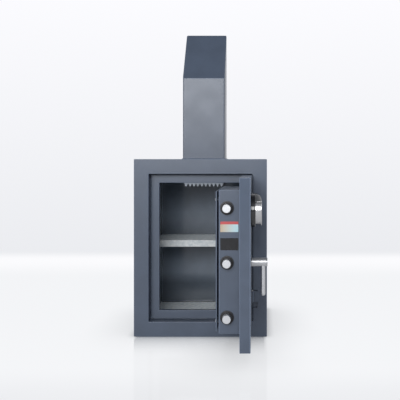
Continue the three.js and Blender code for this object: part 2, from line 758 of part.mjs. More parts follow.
// Dial ring with its hood, the shroud round it, the dial with its knob, the spindle and the lock case.
function addDialAndLock() {
  const at = [handleX, dialHeight];
  const ringBack = seam;
  const recess = dialRadius + dialRunningGap;
  const hoodEdge = ringThickness + shroudDepth;
  const quarter = Array.from({ length: arcSteps + 1 }, (_, i) => {
    const angle = (Math.PI / 2) * (i / arcSteps);
    return [Math.sin(angle), Math.cos(angle)];
  });

  const ring = turnedOutwards([
    [spindleRadius + runningGap, ringBack],
    [ringRadius, ringBack],
    [ringRadius, ringThickness - dialEdge],
    [ringRadius - dialEdge, ringThickness],
    [recess, ringThickness],
    [recess, ringFloor],
    [spindleRadius + runningGap, ringFloor],
    [spindleRadius + runningGap, ringBack],
  ], at[0], at[1]);
  const hoodArc = (edgeRadius, depth) => quarter.map(([rise, spread]) => (
    [edgeRadius - hoodReach * (1 - spread), ringThickness - overlap + depth * rise]
  ));
  const outerArc = hoodArc(shroudRadius, shroudDepth);
  const innerArc = hoodArc(shroudRadius - hoodWall, shroudDepth - hoodWall).reverse();
  const hood = turnedOutwards([...outerArc, ...innerArc, outerArc[0]], at[0], at[1])
    .intersect(block(
      [at[0] - ringRadius, at[0] + ringRadius],
      [-hoodEdge - overlap, 0],
      [at[1] + hoodChord + seam, at[1] + ringRadius],
    ));
  addPart(door, "dial_ring", ring.add(hood), "black_plastic");

  const shroudInner = shroudRadius - shroudWall;
  const shroud = turnedOutwards([
    [shroudInner, ringThickness + seam],
    [shroudRadius, ringThickness + seam],
    [shroudRadius, hoodEdge - chamfer],
    [shroudRadius - chamfer, hoodEdge],
    [shroudInner, hoodEdge],
    [shroudInner, ringThickness + seam],
  ], at[0], at[1]).subtract(block(
    [at[0] - ringRadius, at[0] + ringRadius],
    [-hoodEdge - overlap, 0],
    [at[1] + hoodChord, at[1] + ringRadius],
  ));
  addPart(door, "dial_shroud", shroud, "satin_chrome");

  const dialBack = ringFloor + dialRunningGap;
  const dialFront = dialBack + dialThickness;
  const dial = turnedOutwards([
    [0, dialBack],
    [dialRadius, dialBack],
    [dialRadius, dialBack + dialThickness / 2],
    [dialRadius - dialSkirt, dialFront],
    [dialKnobRadius, dialFront],
    [dialKnobRadius, dialFront + dialKnobLength - dialEdge],
    [dialKnobRadius - dialEdge, dialFront + dialKnobLength],
    [0, dialFront + dialKnobLength],
  ], at[0], at[1]).subtract(rod("y", spindleRadius + seam, [-dialFront, 0], at, smallSides));
  addPart(door, "dial", dial, "black_plastic");

  const lockY = [doorThickness + seam, doorThickness + seam + lockDepth];
  const spindleEnd = lockY[1] - lockDepth / 3;
  const spindle = rod("y", spindleRadius, [-dialFront + seam, spindleEnd - seam], at, smallSides);
  addPart(door, "dial_spindle", spindle, "bright_steel");
  const lockX = [at[0] - lockWidth + lockBesideSpindle, at[0] + lockBesideSpindle];
  const lockZ = [at[1] + lockAboveSpindle - lockTall, at[1] + lockAboveSpindle];
  const lock = block(lockX, lockY, lockZ)
    .subtract(rod("y", spindleRadius + runningGap, [lockY[0] - overlap, spindleEnd], at, smallSides));
  addPart(door, "lock_case", lock, "zinc_sheet");
}

// Dead bar: a folded bar whose hook lies behind the hinge-side jamb when the door is shut.
function addDeadBar() {
  const z = [doorBottom + deadBarEndInset, doorTop - deadBarEndInset];
  const hookY = [jambRearY + deadBarBehindJamb, jambRearY + deadBarBehindJamb + deadBarThickness];
  const sweep = Math.hypot(jambLap, jambRearY) + deadBarSweepClearance;
  const hookX = -Math.sqrt(Math.max(sweep ** 2 - hookY[0] ** 2, 1));
  const legX = [-jambLap - deadBarFromJamb - deadBarThickness, -jambLap - deadBarFromJamb];
  const bar = block(legX, [doorThickness + seam, hookY[1]], z)
    .add(block([legX[0], hookX], hookY, z))
    .add(block(
      [legX[0] - deadBarFoot + deadBarThickness, legX[1]],
      [doorThickness + seam, doorThickness + seam + deadBarThickness],
      z,
    ));
  addPart(door, "hinge_side_dead_bar", bar, "bare_steel");
}

addSkins();
addFrontFrame();
addLinerAndFill();
addNeck();
addComb();
addFlap();
addShelf();
addHinges();
addDoorSlab();
addHousing();
addBoltwork();
addHandle();
addDialAndLock();
addDeadBar();

export default safe;
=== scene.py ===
"""Looks of a gooseneck safe: a steel safe with a tall slanted deposit neck, its door open at a right angle.

Metres, +Z up, and the door side faces -Y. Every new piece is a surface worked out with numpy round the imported
frame. Door pieces are drawn in the door's own axes with the door shut: x runs along the door from the hinge
axis, y from the outer face inwards and z up. hang() puts them on the open door.
"""
import json
from functools import cache

import bmesh
import bpy
import numpy as np
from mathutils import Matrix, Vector

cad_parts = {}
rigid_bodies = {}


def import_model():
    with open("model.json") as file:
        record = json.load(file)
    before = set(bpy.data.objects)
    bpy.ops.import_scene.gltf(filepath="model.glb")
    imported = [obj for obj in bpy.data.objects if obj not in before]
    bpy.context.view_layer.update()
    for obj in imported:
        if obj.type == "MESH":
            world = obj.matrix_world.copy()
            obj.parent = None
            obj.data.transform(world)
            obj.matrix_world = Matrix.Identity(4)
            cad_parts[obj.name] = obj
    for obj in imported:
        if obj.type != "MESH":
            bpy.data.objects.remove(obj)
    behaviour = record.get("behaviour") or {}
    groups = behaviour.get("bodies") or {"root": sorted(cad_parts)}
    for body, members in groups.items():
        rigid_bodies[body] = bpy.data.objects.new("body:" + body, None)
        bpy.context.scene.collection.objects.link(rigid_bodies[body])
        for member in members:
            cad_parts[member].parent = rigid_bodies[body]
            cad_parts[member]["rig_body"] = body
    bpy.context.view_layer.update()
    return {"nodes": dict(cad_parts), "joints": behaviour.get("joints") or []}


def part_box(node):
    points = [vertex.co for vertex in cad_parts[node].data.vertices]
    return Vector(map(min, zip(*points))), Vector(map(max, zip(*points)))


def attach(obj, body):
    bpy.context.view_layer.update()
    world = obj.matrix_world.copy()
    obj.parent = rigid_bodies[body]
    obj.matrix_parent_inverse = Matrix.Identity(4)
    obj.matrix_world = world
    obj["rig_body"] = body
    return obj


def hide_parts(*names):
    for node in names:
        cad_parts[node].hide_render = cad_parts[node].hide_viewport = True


bl_info = {
    "name": "Gooseneck Safe",
    "version": (1, 0, 0),
    "blender": (4, 5, 0),
    "location": "View3D > Sidebar > Safe",
    "description": "Dresses the frame of a steel safe with a tall slanted deposit neck",
    "category": "Add Mesh",
}

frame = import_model()

QUARTER = np.pi / 2
FULL = 2 * np.pi
SHARP_FROM = np.radians(48)
ROUND_FROM = np.radians(32)
WELD_DISTANCE = 2e-6
PLATE_STEPS = 3
EDGE_FACE_WIDTH = 0.0016
EDGE_FACE_BEND = np.cos(np.radians(4))
MIDDLE = 0.05
SPREAD = 0.08
HINGES = ("lower", "upper")
BOLTS = ("lower", "middle", "upper")
NECK_RISE = 0.1818
NECK_GAP = 0.0003
COMB_TEETH = 10
COMB_DEPTH = 0.013
SKIRT_OUT = 0.0093
UPPER_LABEL_Z = 0.4085
LOWER_LABEL_Z = 0.357
MARK_DULL = (0.72, 0.72, 0.70, 1)
MARK_CLEAR = (0.82, 0.82, 0.80, 1)
FLOOR_FAR = (1.03, 1.03, 1.05, 1)
FLOOR_END = (0.885, 0.895, 0.925, 1)
FLOOR_FORE = (0.875, 0.885, 0.91, 1)
WALL_LOW = (0.83, 0.84, 0.87, 1)
WALL_HIGH = (0.97, 0.97, 1.0, 1)
CEILING = (0.36, 0.37, 0.39, 1)
ZENITH = (0.10, 0.11, 0.12, 1)
MIRRORED_FRONT = (0.50, 0.52, 0.55, 1)
EVEN_LOW = (0.95, 0.97, 1.0, 1)
EVEN_HIGH = (0.18, 0.19, 0.21, 1)


def span(node):
    """Lowest and highest corner of a CAD node, as numpy points."""
    low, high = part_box(node)
    return np.array(low), np.array(high)


def joint_at(name):
    """Where a joint of the frame sits."""
    return np.array(next(joint["pos_m"] for joint in frame["joints"] if joint["name"] == name))


def face_of(x, z):
    """Half sizes and centre of a rectangle between two ends across and two ends up."""
    return ((x[1] - x[0]) / 2, (z[1] - z[0]) / 2), ((x[1] + x[0]) / 2, (z[1] + z[0]) / 2)


HINGE = joint_at("door_hinge")
HANDLE = joint_at("handle_turn")
DIAL = joint_at("dial_turn")
FLAP = joint_at("flap_hinge")
DIAL_X = HANDLE[1] - HINGE[1]
SILL = span("front_sill")
STILE = span("front_stile_left")
BACK = span("outer_back_skin")
NECK = span("neck_slant_cap")
NECK_FRONT = span("neck_front_plate")
NECK_CENTRE = (0.0, (NECK[1][1] + NECK[0][1]) / 2)
FRONT = SILL[0][1]
REAR = BACK[1][1]
DECK = BACK[1][2] + BACK[0][2]
BODY_HALF = (-STILE[0][0], DECK / 2)
BODY_FACE = (BODY_HALF, (0.0, DECK / 2))


def door_span(node):
    """A door node's extent in the door's own axes, as (low, high) pairs for x, y and z."""
    low, high = span(node)
    return (low[1] - HINGE[1], high[1] - HINGE[1]), (HINGE[0] - high[0], HINGE[0] - low[0]), (low[2], high[2])


def hang(points):
    """Door axes to the safe's own: X is the hinge less y, Y is the hinge plus x, and Z is z."""
    x, y, z = np.moveaxis(np.asarray(points, float), -1, 0)
    return np.stack([HINGE[0] - y, HINGE[1] + x, z], -1)


def length(name, description, default):
    return bpy.props.FloatProperty(
        name=name, description=description, default=default, unit="LENGTH", precision=5
    )


def colour(name, description, default):
    return bpy.props.FloatVectorProperty(
        name=name, description=description, default=default, subtype="COLOR", size=3, min=0, max=1
    )


def amount(name, description, default):
    return bpy.props.FloatProperty(name=name, description=description, default=default)


class SafeSizes(bpy.types.PropertyGroup):
    plate_edge: length("Plate edge", "Radius on the edges of the heavy plates", 0.002)
    wrap_edge: length("Wrap edge", "Radius on the long edges of the outer wrap", 0.0028)
    rebate_depth: length("Rebate depth", "Depth of the door's seat behind the front face", 0.03275)
    seat_groove: length("Seat groove", "Width of the groove between the frame and the door's seat", 0.0045)
    skin_thickness: length("Skin thickness", "Thickness of the outer wrap", 0.0048)
    liner_thickness: length("Liner thickness", "Thickness of the painted liner", 0.002)
    neck_corner: length("Neck corner", "Radius on the upright corners of the neck", 0.004)
    neck_wall: length("Neck wall", "Thickness of the neck plates", 0.004)
    neck_fold: length("Neck fold", "Radius on the slanted top's edges", 0.002)
    mouth_width: length("Mouth width", "Width of the deposit mouth in the neck's back", 0.12)
    mouth_low: length("Mouth bottom", "Height of the mouth's lower edge", 0.976)
    mouth_high: length("Mouth top", "Height of the mouth's upper edge", 1.036)
    weld_leg: length("Weld size", "Radius of the bead round the neck", 0.0036)
    door_edge: length("Door edge", "Radius round the door's outer face", 0.0022)
    door_rim: length("Door rim", "Width of the pan's rim round the inner plate", 0.00635)
    box_bend: length("Housing bend", "Outer bend radius of the boltwork housing", 0.0032)
    box_sheet: length("Housing sheet", "Sheet thickness of the boltwork housing", 0.0025)
    shelf_bend: length("Shelf bend", "Outer bend radius of the shelf's front lip", 0.0035)
    sheet_edge: length("Sheet edge", "Radius on cut sheet edges", 0.0004)
    label_width: length("Label width", "Width of the two blank labels", 0.0535)
    red_label_height: length("Upper label height", "Height of the red and pale label", 0.031)
    black_label_height: length("Lower label height", "Height of the black label", 0.036)
    knob_flutes: bpy.props.IntProperty(name="Knob flutes", description="Flutes round the knob", default=28)
    lever_square: amount("Lever squareness", "Power of the lever's section: 1 is round, 0 is square", 0.55)


class SafeFinishes(bpy.types.PropertyGroup):
    paint: colour("Paint", "Slate grey paint outside", (0.068, 0.088, 0.127))
    # Painted light: the room's slate paint is made about twice as light as the outside paint, standing in for
    # light inside the room.
    paint_inside: colour("Inside paint", "Slate grey paint inside the room", (0.155, 0.186, 0.229))
    # Painted light: the zinc is made nearly white, far lighter than real zinc sheet, to stand in for light on
    # the shelf and floor inside the room.
    zinc: colour("Zinc", "Zinc coated sheet", (0.87, 0.95, 1.0))
    steel: colour("Bare steel", "Bare sheet steel", (0.52, 0.54, 0.57))
    bright: colour("Bright steel", "Turned and polished steel", (0.645, 0.65, 0.665))
    bolt: colour("Bolt steel", "Polished steel of the bolts", (0.745, 0.755, 0.775))
    # Painted shade: a dark copy of the comb steel for the combs deep in the throat, where they lie in shade.
    comb_oiled: colour("Oiled comb", "Combs deep in the throat", (0.16, 0.17, 0.19))
    comb_bright: colour("Bright comb", "Comb at the throat's front", (0.62, 0.67, 0.74))
    chrome: colour("Satin chrome", "Satin chrome", (0.59, 0.585, 0.59))
    black: colour("Black", "Black moulded parts", (0.012, 0.012, 0.014))
    grey_hood: colour("Hood grey", "Dark grey of the dial's hood", (0.088, 0.090, 0.094))
    fill: colour("Fill", "Cast fire fill", (0.47, 0.44, 0.38))
    label_red: colour("Label red", "Band of the upper label", (0.47, 0.075, 0.08))
    label_cream: colour("Label cream", "Warm end of the upper label", (0.48, 0.37, 0.26))
    label_blue: colour("Label blue", "Cool end of the upper label", (0.43, 0.65, 0.73))
    peel_size: length("Orange peel", "Size of the paint's orange peel", 0.0022)


class SafeStage(bpy.types.PropertyGroup):
    place: bpy.props.FloatVectorProperty(
        name="Camera place", description="Where the camera stands", default=(0.2044, -2.2836, 0.6052),
        unit="LENGTH"
    )
    lens: amount("Lens", "Focal length in millimetres", 54.55)
    shift: bpy.props.FloatVectorProperty(
        name="Shift", description="Camera shift that frames the view", default=(-0.1497, -0.099), size=2
    )
    floor_end: length("Floor end", "Where the floor stops behind the safe", 1.78)
    floor: colour("Floor", "Pale floor", (0.955, 0.965, 0.985))
    key: amount("Key light", "Power of the front softbox in watts", 98)
    fill: amount("Fill light", "Power of the right softbox in watts", 8)
    low: amount("Low light", "Power of the low front light in watts", 8.6)
    sky: amount("Room light", "Strength of the room's even light", 0.66)
    lift: amount("Floor lift", "Share of the floor's own paleness that no shadow takes away", 0.92)
    contact: length("Contact shadow", "How far the safe darkens the floor round its foot", 0.2)


# Surfaces: a surface is its points, its faces and, for turned pieces, the run along the profile at each point


def quads(rows, columns, wrapped):
    """Faces between neighbours of a grid whose columns go round; wrapped joins the last row to the first."""
    row = np.arange(rows if wrapped else rows - 1)[:, None]
    column = np.arange(columns)[None, :]
    above = (row + 1) % rows
    beside = (column + 1) % columns
    row = row * columns
    above = above * columns
    return np.stack([row + column, row + beside, above + beside, above + column], -1).reshape(-1, 4).tolist()


def loft(grid, ends="caps", run=None):
    """A grid of closed rows as a surface. Its ends are one face each, joined in a ring, or left as poles."""
    rows, columns = grid.shape[:2]
    faces = quads(rows, columns, ends == "wrap")
    if ends == "caps":
        first = list(range(columns))
        faces += [first[::-1], [(rows - 1) * columns + index for index in first]]
    along = np.zeros(rows) if run is None else run
    return grid.reshape(-1, 3), faces, np.repeat(along, columns)


def joined(*surfaces):
    """Several surfaces as one, each one's faces counted on from the points before it."""
    starts = np.cumsum([0] + [len(points) for points, _, _ in surfaces])
    counted = zip(starts, surfaces)
    faces = [[index + int(start) for index in face] for start, (_, some, _) in counted for face in some]
    return np.concatenate([s[0] for s in surfaces]), faces, np.concatenate([s[2] for s in surfaces])


def filleted(corners, radii, steps=4, closed=True):
    """An outline with rounded corners: each gives way to points on the circle that touches both its sides."""
    corner = np.asarray(corners, float)
    radius = np.broadcast_to(np.asarray(radii, float), len(corner)).copy()
    back = np.roll(corner, 1, 0) - corner
    on = np.roll(corner, -1, 0) - corner
    if not closed:
        radius[[0, -1]] = 0
        back[0] = on[0] @ [[0, 1], [-1, 0]]
        on[-1] = back[-1] @ [[0, 1], [-1, 0]]
    back /= np.linalg.norm(back, axis=1, keepdims=True)
    on /= np.linalg.norm(on, axis=1, keepdims=True)
    half = np.arccos(np.clip((back * on).sum(1), -0.999999, 0.999999)) / 2
    middle = back + on
    middle /= np.linalg.norm(middle, axis=1, keepdims=True) + 1e-12
    centre = corner + middle * (radius / np.sin(half))[:, None]
    reach = (radius / np.tan(half))[:, None]
    start = corner + back * reach - centre
    end = corner + on * reach - centre
    first = np.arctan2(start[:, 1], start[:, 0])
    turn = np.arctan2(end[:, 1], end[:, 0]) - first
    turn = (turn + np.pi) % FULL - np.pi
    angle = first[:, None] + turn[:, None] * np.linspace(0, 1, steps + 1)
    arc = np.stack([np.cos(angle), np.sin(angle)], -1) * radius[:, None, None]
    return (centre[:, None] + arc).reshape(-1, 2)


def turned(profile, centre, axis, sides=64, ends="wrap"):
    """A profile of (radius, along) turned round an axis: the other axes are radius times cosine and sine."""
    radius, along = np.asarray(profile, float).T
    angle = np.linspace(0, FULL, sides, endpoint=False)
    grid = np.zeros((len(radius), sides, 3))
    grid[..., axis] = along[:, None]
    grid[..., (axis + 1) % 3] = radius[:, None] * np.cos(angle)
    grid[..., (axis + 2) % 3] = radius[:, None] * np.sin(angle)
    steps = np.hypot(np.diff(radius), np.diff(along))
    return loft(grid + np.asarray(centre, float), ends, np.concatenate([[0], np.cumsum(steps)]))


def rectangles(outline, half, centre, corner, steps=4):
    """Rounded rectangles, one for each (inset, depth): half sizes less the inset, and quarter circles."""
    inset, depth = np.asarray(outline, float).T
    radius = np.broadcast_to(np.asarray(corner, float), inset.shape)[:, None]
    angle = (np.arange(4)[:, None] * QUARTER + np.linspace(0, QUARTER, steps + 1)).ravel()
    side = np.repeat([[1, 1], [-1, 1], [-1, -1], [1, -1]], steps + 1, axis=0)
    across = side[:, 0] * (half[0] - inset[:, None] - radius) + radius * np.cos(angle)
    up = side[:, 1] * (half[1] - inset[:, None] - radius) + radius * np.sin(angle)
    return np.stack([centre[0] + across, np.broadcast_to(depth[:, None], across.shape), centre[1] + up], -1)


def plate(corners, radii, face, split, round_corners, steps=4, closed=False):
    """A filleted outline of (inset, depth) carried round a face; its corner radius changes at the split."""
    outline = filleted(corners, radii, steps, closed)
    grid = rectangles(outline, *face, np.where(outline[:, 0] < split, *round_corners))
    return loft(grid, "wrap" if closed else "caps")


def spun(corners, radii, centre, axis, sides=64, ends="wrap", steps=3):
    """A filleted outline of (radius, along) turned round an axis; it is open where its ends are poles."""
    return turned(filleted(corners, radii, steps, ends == "wrap"), centre, axis, sides, ends)


def carried(outline, ends, axis):
    """An outline in the two other axes, carried straight along one axis from the first end to the last."""
    outline = np.asarray(outline, float)
    grid = np.zeros((len(ends), len(outline), 3))
    grid[..., axis] = np.asarray(ends, float)[:, None]
    grid[..., [other for other in range(3) if other != axis]] = outline
    return loft(grid)


def block(x, y, z):
    """A plain box between two ends on each axis, used as a cutter or under rounded edges."""
    return carried([[x[0], y[0]], [x[1], y[0]], [x[1], y[1]], [x[0], y[1]]], z, 2)


def rod(axis, radius, ends, centre, sides=48):
    """A round bar between two ends along one axis."""
    profile = [[0, ends[0]], [radius, ends[0]], [radius, ends[1]], [0, ends[1]]]
    return turned(profile, centre, axis, sides, "poles")


# Pieces: a surface becomes an object, is cut and rounded, and is told to the frame


def mesh_of(name, surface, on_door=False):
    """A mesh with its seams and poles merged and its faces turned outwards."""
    points, faces, run = surface
    mesh = bpy.data.meshes.new(name)
    mesh.from_pydata((hang(points) if on_door else np.asarray(points)).tolist(), [], faces)
    mesh.attributes.new("run", "FLOAT", "POINT").data.foreach_set("value", run.astype(np.float32))
    clean(mesh, WELD_DISTANCE)
    return mesh


def clean(mesh, distance, flat_angle=None):
    """Merges doubles, joins flat faces if an angle is given, drops loose edges and turns faces outwards."""
    work = bmesh.new()
    work.from_mesh(mesh)
    bmesh.ops.remove_doubles(work, verts=work.verts, dist=distance)
    if flat_angle is not None:
        bmesh.ops.dissolve_limit(work, angle_limit=flat_angle, verts=work.verts, edges=work.edges)
    loose = [edge for edge in work.edges if not edge.link_faces]
    bmesh.ops.delete(work, geom=loose, context="EDGES")
    bmesh.ops.recalc_face_normals(work, faces=work.faces)
    work.to_mesh(mesh)
    work.free()


def shown(name, mesh):
    piece = bpy.data.objects.new(name, mesh)
    bpy.context.scene.collection.objects.link(piece)
    return piece


def settle(piece):
    """Makes a piece's modifiers part of its mesh."""
    graph = bpy.context.evaluated_depsgraph_get()
    finished = bpy.data.meshes.new_from_object(
        piece.evaluated_get(graph), preserve_all_data_layers=True, depsgraph=graph
    )
    piece.modifiers.clear()
    old = piece.data
    piece.data = finished
    bpy.data.meshes.remove(old)
    finished.name = piece.name


def carve(piece, tools, operation="DIFFERENCE"):
    """Cuts a piece with surfaces that are already in the safe's axes, or keeps only what they cover."""
    for index, tool in enumerate(tools):
        cutter = shown(f"cutter_{index}", tool)
        modifier = piece.modifiers.new("cut", "BOOLEAN")
        modifier.operation = operation
        modifier.solver = "EXACT"
        modifier.object = cutter
        settle(piece)
        bpy.data.objects.remove(cutter)


def smooth(piece, edge=0.0, steps=PLATE_STEPS):
    """Rounds a piece's edges and gives its large faces the say over the shading of its small ones."""
    if edge:
        bevel = piece.modifiers.new("edges", "BEVEL")
        bevel.width = edge
        bevel.segments = steps
        bevel.limit_method = "ANGLE"
        bevel.angle_limit = ROUND_FROM
        settle(piece)
    piece.data.shade_smooth()
    piece.data.set_sharp_from_angle(angle=SHARP_FROM)
    normals = piece.modifiers.new("normals", "WEIGHTED_NORMAL")
    normals.keep_sharp = True
    settle(piece)
    mark_edges(piece.data)


def read(items, name, width=1, kind=float):
    """One property of many mesh items as an array."""
    values = np.empty(len(items) * width, kind)
    items.foreach_get(name, values)
    return values.reshape(-1, width) if width > 1 else values


def mark_edges(mesh):
    """Gives a face 1 where it is narrow and bends away from a neighbour, as on a rounded edge, else 0; the
    paint lays a painted highlight on these faces.
    """
    normal = read(mesh.polygons, "normal", 3)
    owner = np.repeat(np.arange(len(mesh.polygons)), read(mesh.polygons, "loop_total", 1, int))
    edge = read(mesh.loops, "edge_index", 1, int)
    place = read(mesh.vertices, "co", 3)
    ends = read(mesh.edges, "vertices", 2, int)
    size = np.linalg.norm(place[ends[:, 0]] - place[ends[:, 1]], axis=1)
    round_it = np.bincount(owner, size[edge], len(mesh.polygons))
    narrow = 2 * read(mesh.polygons, "area") / round_it < EDGE_FACE_WIDTH
    order = np.argsort(edge, kind="stable")
    same = edge[order][1:] == edge[order][:-1]
    one, other = owner[order][:-1][same], owner[order][1:][same]
    bends = (normal[one] * normal[other]).sum(1) < EDGE_FACE_BEND
    shared = size[edge[order][1:][same]]
    sides = [faces[bends & (shared > round_it[faces] / 4)] for faces in (one, other)]
    bent = np.bincount(np.concatenate(sides), minlength=len(mesh.polygons)) > 0
    mesh.attributes.new("edge", "FLOAT", "FACE").data.foreach_set("value", (narrow & bent).astype(np.float32))


def tell(piece, look, body, replaced=()):
    """Gives a piece its finish, tells the frame its body, and hides the nodes that it stands for."""
    piece.data.materials.clear()
    piece.data.materials.append(look())
    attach(piece, body)
    if replaced:
        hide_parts(*replaced)
    return piece


def put(name, surface, look, body="body", replaced=(), cuts=(), keep=(), edge=0.0, steps=PLATE_STEPS):
    """Makes one piece from a surface, and hangs it on the door if its body is one of the door's."""
    on_door = body != "body" and body != "flap"
    piece = shown(name, mesh_of(name, surface, on_door))
    carve(piece, [mesh_of("cutter", cut, on_door) for cut in keep], "INTERSECT")
    carve(piece, [mesh_of("cutter", cut, on_door) for cut in cuts])
    smooth(piece, edge, steps)
    return tell(piece, look, body, replaced)


def softened(node, look, edge):
    """A CAD node's own solid with its flat neighbours joined and its edges rounded, in place of the node."""
    name = f"{node}_finished"
    mesh = frame["nodes"][node].data.copy()
    mesh.name = name
    clean(mesh, 1e-5, np.radians(1))
    piece = shown(name, mesh)
    smooth(piece, edge, 2)
    return tell(piece, look, frame["nodes"][node]["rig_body"], [node])


def dress(look, *nodes):
    """Gives kept CAD nodes a finish."""
    for node in nodes:
        mesh = frame["nodes"][node].data
        mesh.materials.clear()
        mesh.materials.append(look())


# Finishes: each is made once, by a function that also carries the record's slot for it


def add(tree, kind, inputs=None, **settings):
    """Adds a node with its settings, and sets or links the named or numbered inputs."""
    made = tree.nodes.new(kind)
    for setting, value in settings.items():
        setattr(made, setting, value)
    for socket, value in (inputs or {}).items():
        if isinstance(value, bpy.types.NodeSocket):
            tree.links.new(value, made.inputs[socket])
        else:
            made.inputs[socket].default_value = value
    return made


def maths(tree, operation, *values):
    """One number worked out from others."""
    return add(tree, "ShaderNodeMath", dict(enumerate(values)), operation=operation).outputs[0]


def between(tree, value, low, high, start=0.3, stop=0.7, rise="LINEAR"):
    """A value from start to stop, spread from low to high."""
    inputs = {"Value": value, "From Min": start, "From Max": stop, "To Min": low, "To Max": high}
    return add(tree, "ShaderNodeMapRange", inputs, interpolation_type=rise).outputs["Result"]


def blend(tree, factor, first, second, mode="MIX"):
    """Two colours mixed by a factor."""
    mixed = add(tree, "ShaderNodeMix", {0: factor, 6: first, 7: second}, data_type="RGBA", blend_type=mode)
    return mixed.outputs[2]


def shaded(value, factor=1.0):
    """A colour times a factor, with its alpha."""
    return (*(min(channel * factor, 1.0) for channel in value[:3]), 1.0)


def varied(tree, factor, base, low, high):
    """A colour that runs between two shades of its base."""
    return blend(tree, factor, shaded(base, low), shaded(base, high))


def objects(tree):
    """The safe's own coordinates."""
    return add(tree, "ShaderNodeTexCoord").outputs["Object"]


def axis_of(tree, where, letter):
    """One coordinate of a vector."""
    return add(tree, "ShaderNodeSeparateXYZ", {"Vector": where}).outputs[letter]


def noise_group(name, inputs, outputs):
    """A new node group, with its input and output nodes."""
    tree = bpy.data.node_groups.new(name, "ShaderNodeTree")
    for label, kind, value in inputs:
        socket = tree.interface.new_socket(name=label, in_out="INPUT", socket_type=kind)
        if value is not None:
            socket.default_value = value
    for label in outputs:
        tree.interface.new_socket(name=label, in_out="OUTPUT", socket_type="NodeSocketFloat")
    return tree, tree.nodes.new("NodeGroupInput").outputs, tree.nodes.new("NodeGroupOutput").inputs


@cache
def peel_group():
    """Orange peel of sprayed paint: a fine noise for the height, and slow clouds for colour and gloss."""
    sockets = [("Vector", "NodeSocketVector", None)]
    sockets += [("Peel", "NodeSocketFloat", 450.0), ("Cloud", "NodeSocketFloat", 5.0)]
    tree, source, result = noise_group("paint_peel", sockets, ["Height", "Cloud"])
    for scale, detail, output in (("Peel", 1.5, "Height"), ("Cloud", 3.0, "Cloud")):
        inputs = {"Vector": source["Vector"], "Scale": source[scale], "Detail": detail}
        tree.links.new(add(tree, "ShaderNodeTexNoise", inputs).outputs["Fac"], result[output])
    return tree


@cache
def streak_group():
    """Brush marks: a noise stretched by a different factor along each axis, with a slow cloud over it."""
    sockets = [("Vector", "NodeSocketVector", None), ("Stretch", "NodeSocketVector", (900.0, 900.0, 20.0))]
    tree, source, result = noise_group("brush_marks", sockets, ["Streak", "Cloud"])
    stretch = {0: source["Vector"], 1: source["Stretch"]}
    drawn = add(tree, "ShaderNodeVectorMath", stretch, operation="MULTIPLY").outputs["Vector"]
    streak = add(tree, "ShaderNodeTexNoise", {"Vector": drawn, "Scale": 1.0, "Detail": 3.0, "Roughness": 0.6})
    cloud = add(tree, "ShaderNodeTexNoise", {"Vector": source["Vector"], "Scale": 22.0, "Detail": 2.0})
    tree.links.new(streak.outputs["Fac"], result["Streak"])
    tree.links.new(cloud.outputs["Fac"], result["Cloud"])
    return tree


def peeled(tree, peel, cloud):
    """Height and cloud of the peel group on the safe's own axes."""
    inputs = {"Vector": objects(tree), "Peel": peel, "Cloud": cloud}
    made = add(tree, "ShaderNodeGroup", inputs, node_tree=peel_group())
    return made.outputs["Height"], made.outputs["Cloud"]


def brushed(tree, where, stretch):
    """Streak and cloud of the brush marks."""
    made = add(tree, "ShaderNodeGroup", {"Vector": where, "Stretch": stretch}, node_tree=streak_group())
    return made.outputs["Streak"], made.outputs["Cloud"]


def new_material(name, **sockets):
    """A material of one Principled shader with plain values on its own sockets."""
    material = bpy.data.materials.new(name)
    material.use_nodes = True
    shader = material.node_tree.nodes["Principled BSDF"]
    for socket, value in sockets.items():
        shader.inputs[socket.replace("_", " ")].default_value = value
    return material, material.node_tree, shader


def feed(tree, shader, colour, gloss=None, height=None, distance=0.0, strength=1.0):
    """Leads a colour, a roughness and a relief to the shader."""
    tree.links.new(colour, shader.inputs["Base Color"])
    if gloss:
        tree.links.new(gloss, shader.inputs["Roughness"])
    if height:
        bump = add(tree, "ShaderNodeBump", {"Height": height, "Distance": distance, "Strength": strength})
        tree.links.new(bump.outputs["Normal"], shader.inputs["Normal"])


def finish(slot):
    """Has a function make its material only once, and ties the record's slot to it."""
    def tie(make):
        made = cache(make)
        made.slot = slot
        return made
    return tie


def picked(name):
    """A colour or size from the panel's finishes."""
    return getattr(bpy.context.scene.safe_finishes, name)


def paint_finish(name, base, roughness, depth, coarse=1.0, gloss=0.5, highlight_lift=1.4, shade=None):
    """Sprayed semi-gloss paint: orange peel in the height, slow clouds in colour and gloss, a painted highlight
    that makes rounded edges paler, and painted shade where one is given.
    """
    swing = 0.03
    material, tree, shader = new_material(name, Specular_IOR_Level=gloss)
    peel, cloud = peeled(tree, 1 / (picked("peel_size") * coarse), 16.0)
    tint = varied(tree, between(tree, cloud, 0.0, 1.0, 0.2, 0.8, "SMOOTHSTEP"), base, 1 - SPREAD, 1 + SPREAD)
    # Painted highlight: faces on rounded edges take a lighter copy of the base colour.
    edge_highlight = add(tree, "ShaderNodeAttribute", attribute_name="edge").outputs["Fac"]
    colour = blend(tree, edge_highlight, tint, shaded(base, highlight_lift))
    # Painted shade, where given, is multiplied over the colour.
    if shade:
        colour = blend(tree, 1.0, colour, shade(tree), "MULTIPLY")
    polish = between(tree, cloud, roughness + swing, roughness - swing, 0.2, 0.8, "SMOOTHSTEP")
    feed(tree, shader, colour, polish, peel, depth)
    return material


@finish("slate_paint")
def outside_paint():
    return paint_finish("slate_paint_outside", picked("paint"), 0.33, 0.00006, gloss=0.62)


# Door paint: glossier, with a stronger painted highlight on its rounded edges.
@finish("slate_paint")
def door_paint():
    return paint_finish("slate_paint_door", picked("paint"), 0.16, 0.00003, gloss=0.55, highlight_lift=2.0)


